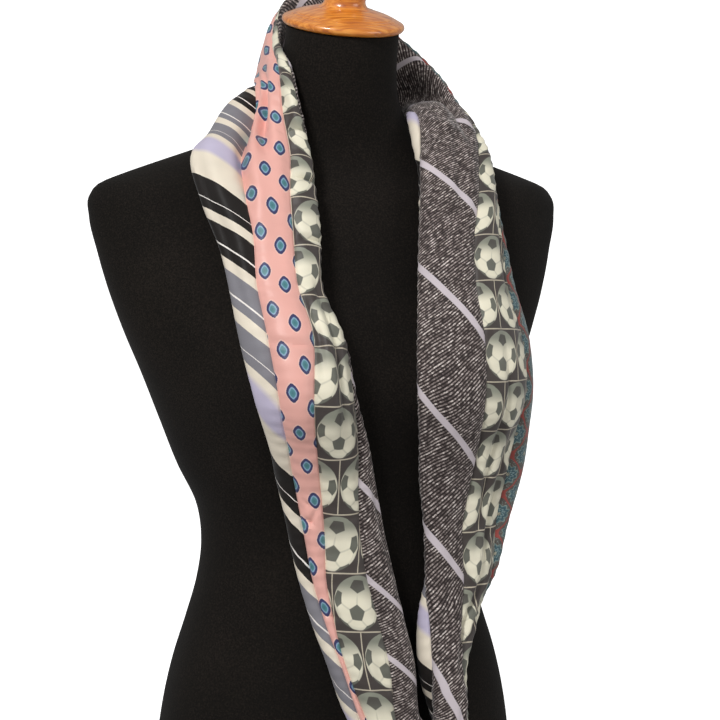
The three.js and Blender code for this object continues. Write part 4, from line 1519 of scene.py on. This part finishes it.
@dataclass
class InfinityScarf:
    """The closed tube of opened neckties, as eight strips that meet at their seams."""

    shape: TorsoShape

    def halves(self) -> tuple[HalfLoop, HalfLoop]:
        """The left and right halves of the loop, which meet at the nape and at the bottom."""
        bottom = swap_edges(BOTTOM, -180)
        left = HalfLoop(
            Side.LEFT,
            self.shape,
            swap_edges(RIGHT_STATIONS[-1], -180),
            (bottom, *LEFT_STATIONS, NAPE),
            RIGHT_STATIONS[0],
            LEFT_FOLDS,
            LEFT_CREASES,
        )
        right = HalfLoop(
            Side.RIGHT,
            self.shape,
            LEFT_STATIONS[-1],
            (NAPE, *RIGHT_STATIONS, BOTTOM),
            swap_edges(LEFT_STATIONS[0], 180),
            RIGHT_FOLDS,
            RIGHT_CREASES,
        )
        return left, right

    def finishes(self) -> dict[tuple[Side, Strip], tuple[str, bpy.types.Material]]:
        """Each strip's material slot and material."""
        tweed = TweedCloth("tweed of silk and wool", roughness=0.75, specular=0.2, weave_depth=0.25)
        near_tweed = replace(tweed, name="close striped tweed of silk and wool", stripe_pitch=55.4).make()
        stripe = StripedSilk("striped satin silk", roughness=0.55, specular=0.22, sheen=0.12).make()
        dots = DottedSilk("printed pink silk", roughness=0.45, specular=0.4).make()
        balls = BallSilk("printed football silk", roughness=0.5).make()
        rosettes = RosetteSilk("printed rosette silk", roughness=0.5).make()
        return {
            (Side.LEFT, Strip.TWEED): ("tweed_silk", near_tweed),
            (Side.LEFT, Strip.STRIPE): ("stripe_silk", stripe),
            (Side.LEFT, Strip.OUTER): ("dot_silk", dots),
            (Side.LEFT, Strip.BALL): ("ball_silk", balls),
            (Side.RIGHT, Strip.TWEED): ("tweed_silk", tweed.make()),
            (Side.RIGHT, Strip.STRIPE): ("stripe_silk", stripe),
            (Side.RIGHT, Strip.OUTER): ("medallion_silk", rosettes),
            (Side.RIGHT, Strip.BALL): ("ball_silk", balls),
        }

    def build(self, rests_on: bpy.types.Object) -> list[bpy.types.Object]:
        """Make the eight strips.

        Args:
            rests_on: the torso that carries the scarf; not used.

        Returns:
            The strips' objects.
        """
        made = []
        dressed = self.finishes()
        for half in self.halves():
            for strip in Strip:
                slot, material = dressed[half.side, strip]
                outer, inner, places = half.strip(strip)
                node = f"{slot.split('_')[0]}_{half.side.value}"
                printed = LAYS[half.side, strip].lay(places)
                piece = self.shell(f"strip_{node}", outer, inner, printed)
                piece.data.materials.append(material)
                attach(piece, "root")
                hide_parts(node)
                made.append(piece)
        return made

    def shell(self, name: str, outer: np.ndarray, inner: np.ndarray, places: np.ndarray) -> bpy.types.Object:
        """Close the outer and inner faces of a strip into one thin shell.

        Args:
            name: the object's name.
            outer: the grid of outer points.
            inner: the matching inner points.
            places: the map across and along, in millimetres.

        Returns:
            The strip's object.
        """
        rows, columns = outer.shape[:2]
        size = rows * columns
        front = grid_faces(rows, columns)
        back = front[:, ::-1] + size
        i = np.arange(rows - 1) * columns
        j = np.arange(columns - 1)
        last = (rows - 1) * columns
        first_edge = np.stack([i, i + columns, i + columns + size, i + size], -1)
        far = i + columns - 1
        last_edge = np.stack([far, far + size, far + columns + size, far + columns], -1)
        bottom = np.stack([j, j + size, j + 1 + size, j + 1], -1)
        top = np.stack([last + j, last + j + 1, last + j + 1 + size, last + j + size], -1)
        faces = np.vstack([front, back, first_edge, last_edge, bottom, top]).tolist()
        points = np.vstack([outer.reshape(-1, 3), inner.reshape(-1, 3)])
        flat = places.reshape(-1, 2) * MM
        return write_mesh(name, points, faces, np.vstack([flat, flat]))


@dataclass(frozen=True)
class Lamp:
    """A soft square light: its place and the side of its square in metres, and its power in watts."""

    name: str
    place: tuple[float, float, float]
    size: float
    power: float


@dataclass
class Studio:
    """The pale floor, the soft lights, and the camera at the photograph's angle."""

    turn: float = 18.0
    distance: float = 1250.0
    height: float = 500.0
    aim_height: float = 385.0
    aim_right: float = 22.0
    focal_pixels: float = 1453.0
    image_pixels: float = 720.0
    sensor: float = 36.0
    dome_radius: float = 12.0
    tent_strength: float = 0.42
    card: str = "#f6f6f5"
    sides: int = 96
    lamps_aim: tuple[float, float, float] = (0.0, 0.0, 0.42)
    lamps: tuple[Lamp, ...] = (
        Lamp("key_light", (-1.3, -1.4, 1.75), 0.45, 33.0),
        Lamp("fill_light", (1.4, -1.5, 0.9), 1.0, 8.0),
    )

    def camera(self) -> None:
        """The camera, at chest height, turned toward the form's right side and looking slightly down."""
        turn = math.radians(self.turn)
        right = Vector((math.cos(turn), -math.sin(turn), 0))
        forward = Vector((math.sin(turn), math.cos(turn), 0))
        axis = Vector((0, AXIS_Y, 0))
        place = axis - forward * self.distance + right * self.aim_right + Vector((0, 0, self.height))
        aim = axis + right * self.aim_right + Vector((0, 0, self.aim_height))
        data = bpy.data.cameras.new("photo_camera")
        data.sensor_width = self.sensor
        data.lens = self.sensor * self.focal_pixels / self.image_pixels
        obj = bpy.data.objects.new("photo_camera", data)
        obj.location = place * MM
        obj.rotation_mode = "QUATERNION"
        obj.rotation_quaternion = (aim - place).to_track_quat("-Z", "Y")
        bpy.context.scene.collection.objects.link(obj)
        bpy.context.scene.camera = obj

    def light(self, lamp: Lamp) -> None:
        """Hang a lamp so that it faces the chest."""
        data = bpy.data.lights.new(lamp.name, "AREA")
        data.shape = "SQUARE"
        data.size = lamp.size
        data.energy = lamp.power
        obj = bpy.data.objects.new(lamp.name, data)
        obj.location = lamp.place
        obj.rotation_mode = "QUATERNION"
        obj.rotation_quaternion = (Vector(self.lamps_aim) - obj.location).to_track_quat("-Z", "Y")
        bpy.context.scene.collection.objects.link(obj)

    def glowing_card(self, name: str, glow: float) -> bpy.types.Material:
        """Matt white card that also glows, as paper lit from behind does, so that it reads as pure white."""
        pen = NodePen(name)
        grain = pen.add(NOISE, named={"Scale": 40.0, "Detail": 2.0})
        shade = pen.add(RAMP, grain, stops=[(0.3, self.card), (0.7, "#fdfdfc")])
        shader = pen.add(
            "ShaderNodeBsdfPrincipled",
            named={
                "Base Color": shade,
                "Roughness": 0.9,
                "Emission Color": paint("#ffffff"),
                "Emission Strength": glow,
            },
        )
        pen.add("ShaderNodeOutputMaterial", shader)
        return pen.material

    def staged(self, piece: bpy.types.Object, material: bpy.types.Material) -> None:
        """Dress a piece of the stage, which the camera sees but which lights nothing."""
        piece.data.materials.append(material)
        piece.visible_diffuse = False
        piece.visible_glossy = False
        piece.visible_shadow = False

    def floor(self) -> None:
        """A plain pale floor, as a fine disc that reaches far past the view."""
        rings = np.array([0.02, 2.0, self.dome_radius])[:, None]
        turn = np.linspace(0, 2 * np.pi, self.sides, endpoint=False)[None, :]
        level = np.zeros((len(rings), self.sides))
        flat = np.stack([rings * np.cos(turn), rings * np.sin(turn), level], -1) / MM
        faces = grid_faces(len(rings), self.sides, closed=True)[:, ::-1].tolist()
        piece = write_mesh("floor", flat.reshape(-1, 3), faces)
        self.staged(piece, self.glowing_card("matt white card floor", 0.9))

    def backdrop(self) -> None:
        """A white dome far behind everything: a half circle turned round the upright axis."""
        rows = 24
        up = np.linspace(0, np.pi / 2 - 0.01, rows)[:, None]
        turn = np.linspace(0, 2 * np.pi, self.sides, endpoint=False)[None, :]
        ring = self.dome_radius * np.cos(up)
        height = np.broadcast_to(self.dome_radius * np.sin(up), (rows, self.sides))
        dome = np.stack([ring * np.cos(turn), ring * np.sin(turn), height], -1) / MM
        faces = grid_faces(rows, self.sides, closed=True)[:, ::-1].tolist()
        piece = write_mesh("backdrop", dome.reshape(-1, 3), faces)
        self.staged(piece, self.glowing_card("white paper backdrop", 1.0))

    def world(self) -> None:
        """Even white light from all round, as in a light tent."""
        world = bpy.data.worlds.new("light_tent")
        world.use_nodes = True
        background = world.node_tree.nodes["Background"]
        background.inputs["Color"].default_value = paint("#fbfbfb")
        background.inputs["Strength"].default_value = self.tent_strength
        bpy.context.scene.world = world
        bpy.context.scene.view_settings.view_transform = "Standard"

    def build(self) -> None:
        """Set up the whole studio."""
        self.camera()
        self.floor()
        self.backdrop()
        for lamp in self.lamps:
            self.light(lamp)
        self.world()


def main() -> None:
    """Build the studio, the form, its cap and the scarf."""
    logging.basicConfig(level=logging.INFO, format="%(name)s: %(message)s")
    Studio().build()
    shape = TorsoShape()
    torso = DressForm(shape).build()
    log.info("%s has %d faces", torso.name, len(torso.data.polygons))
    cap = NeckCap(shape).build()
    log.info("%s has %d faces", cap.name, len(cap.data.polygons))
    for strip in InfinityScarf(shape).build(torso):
        log.info("%s has %d faces", strip.name, len(strip.data.polygons))


if __name__ == "__main__":
    main()
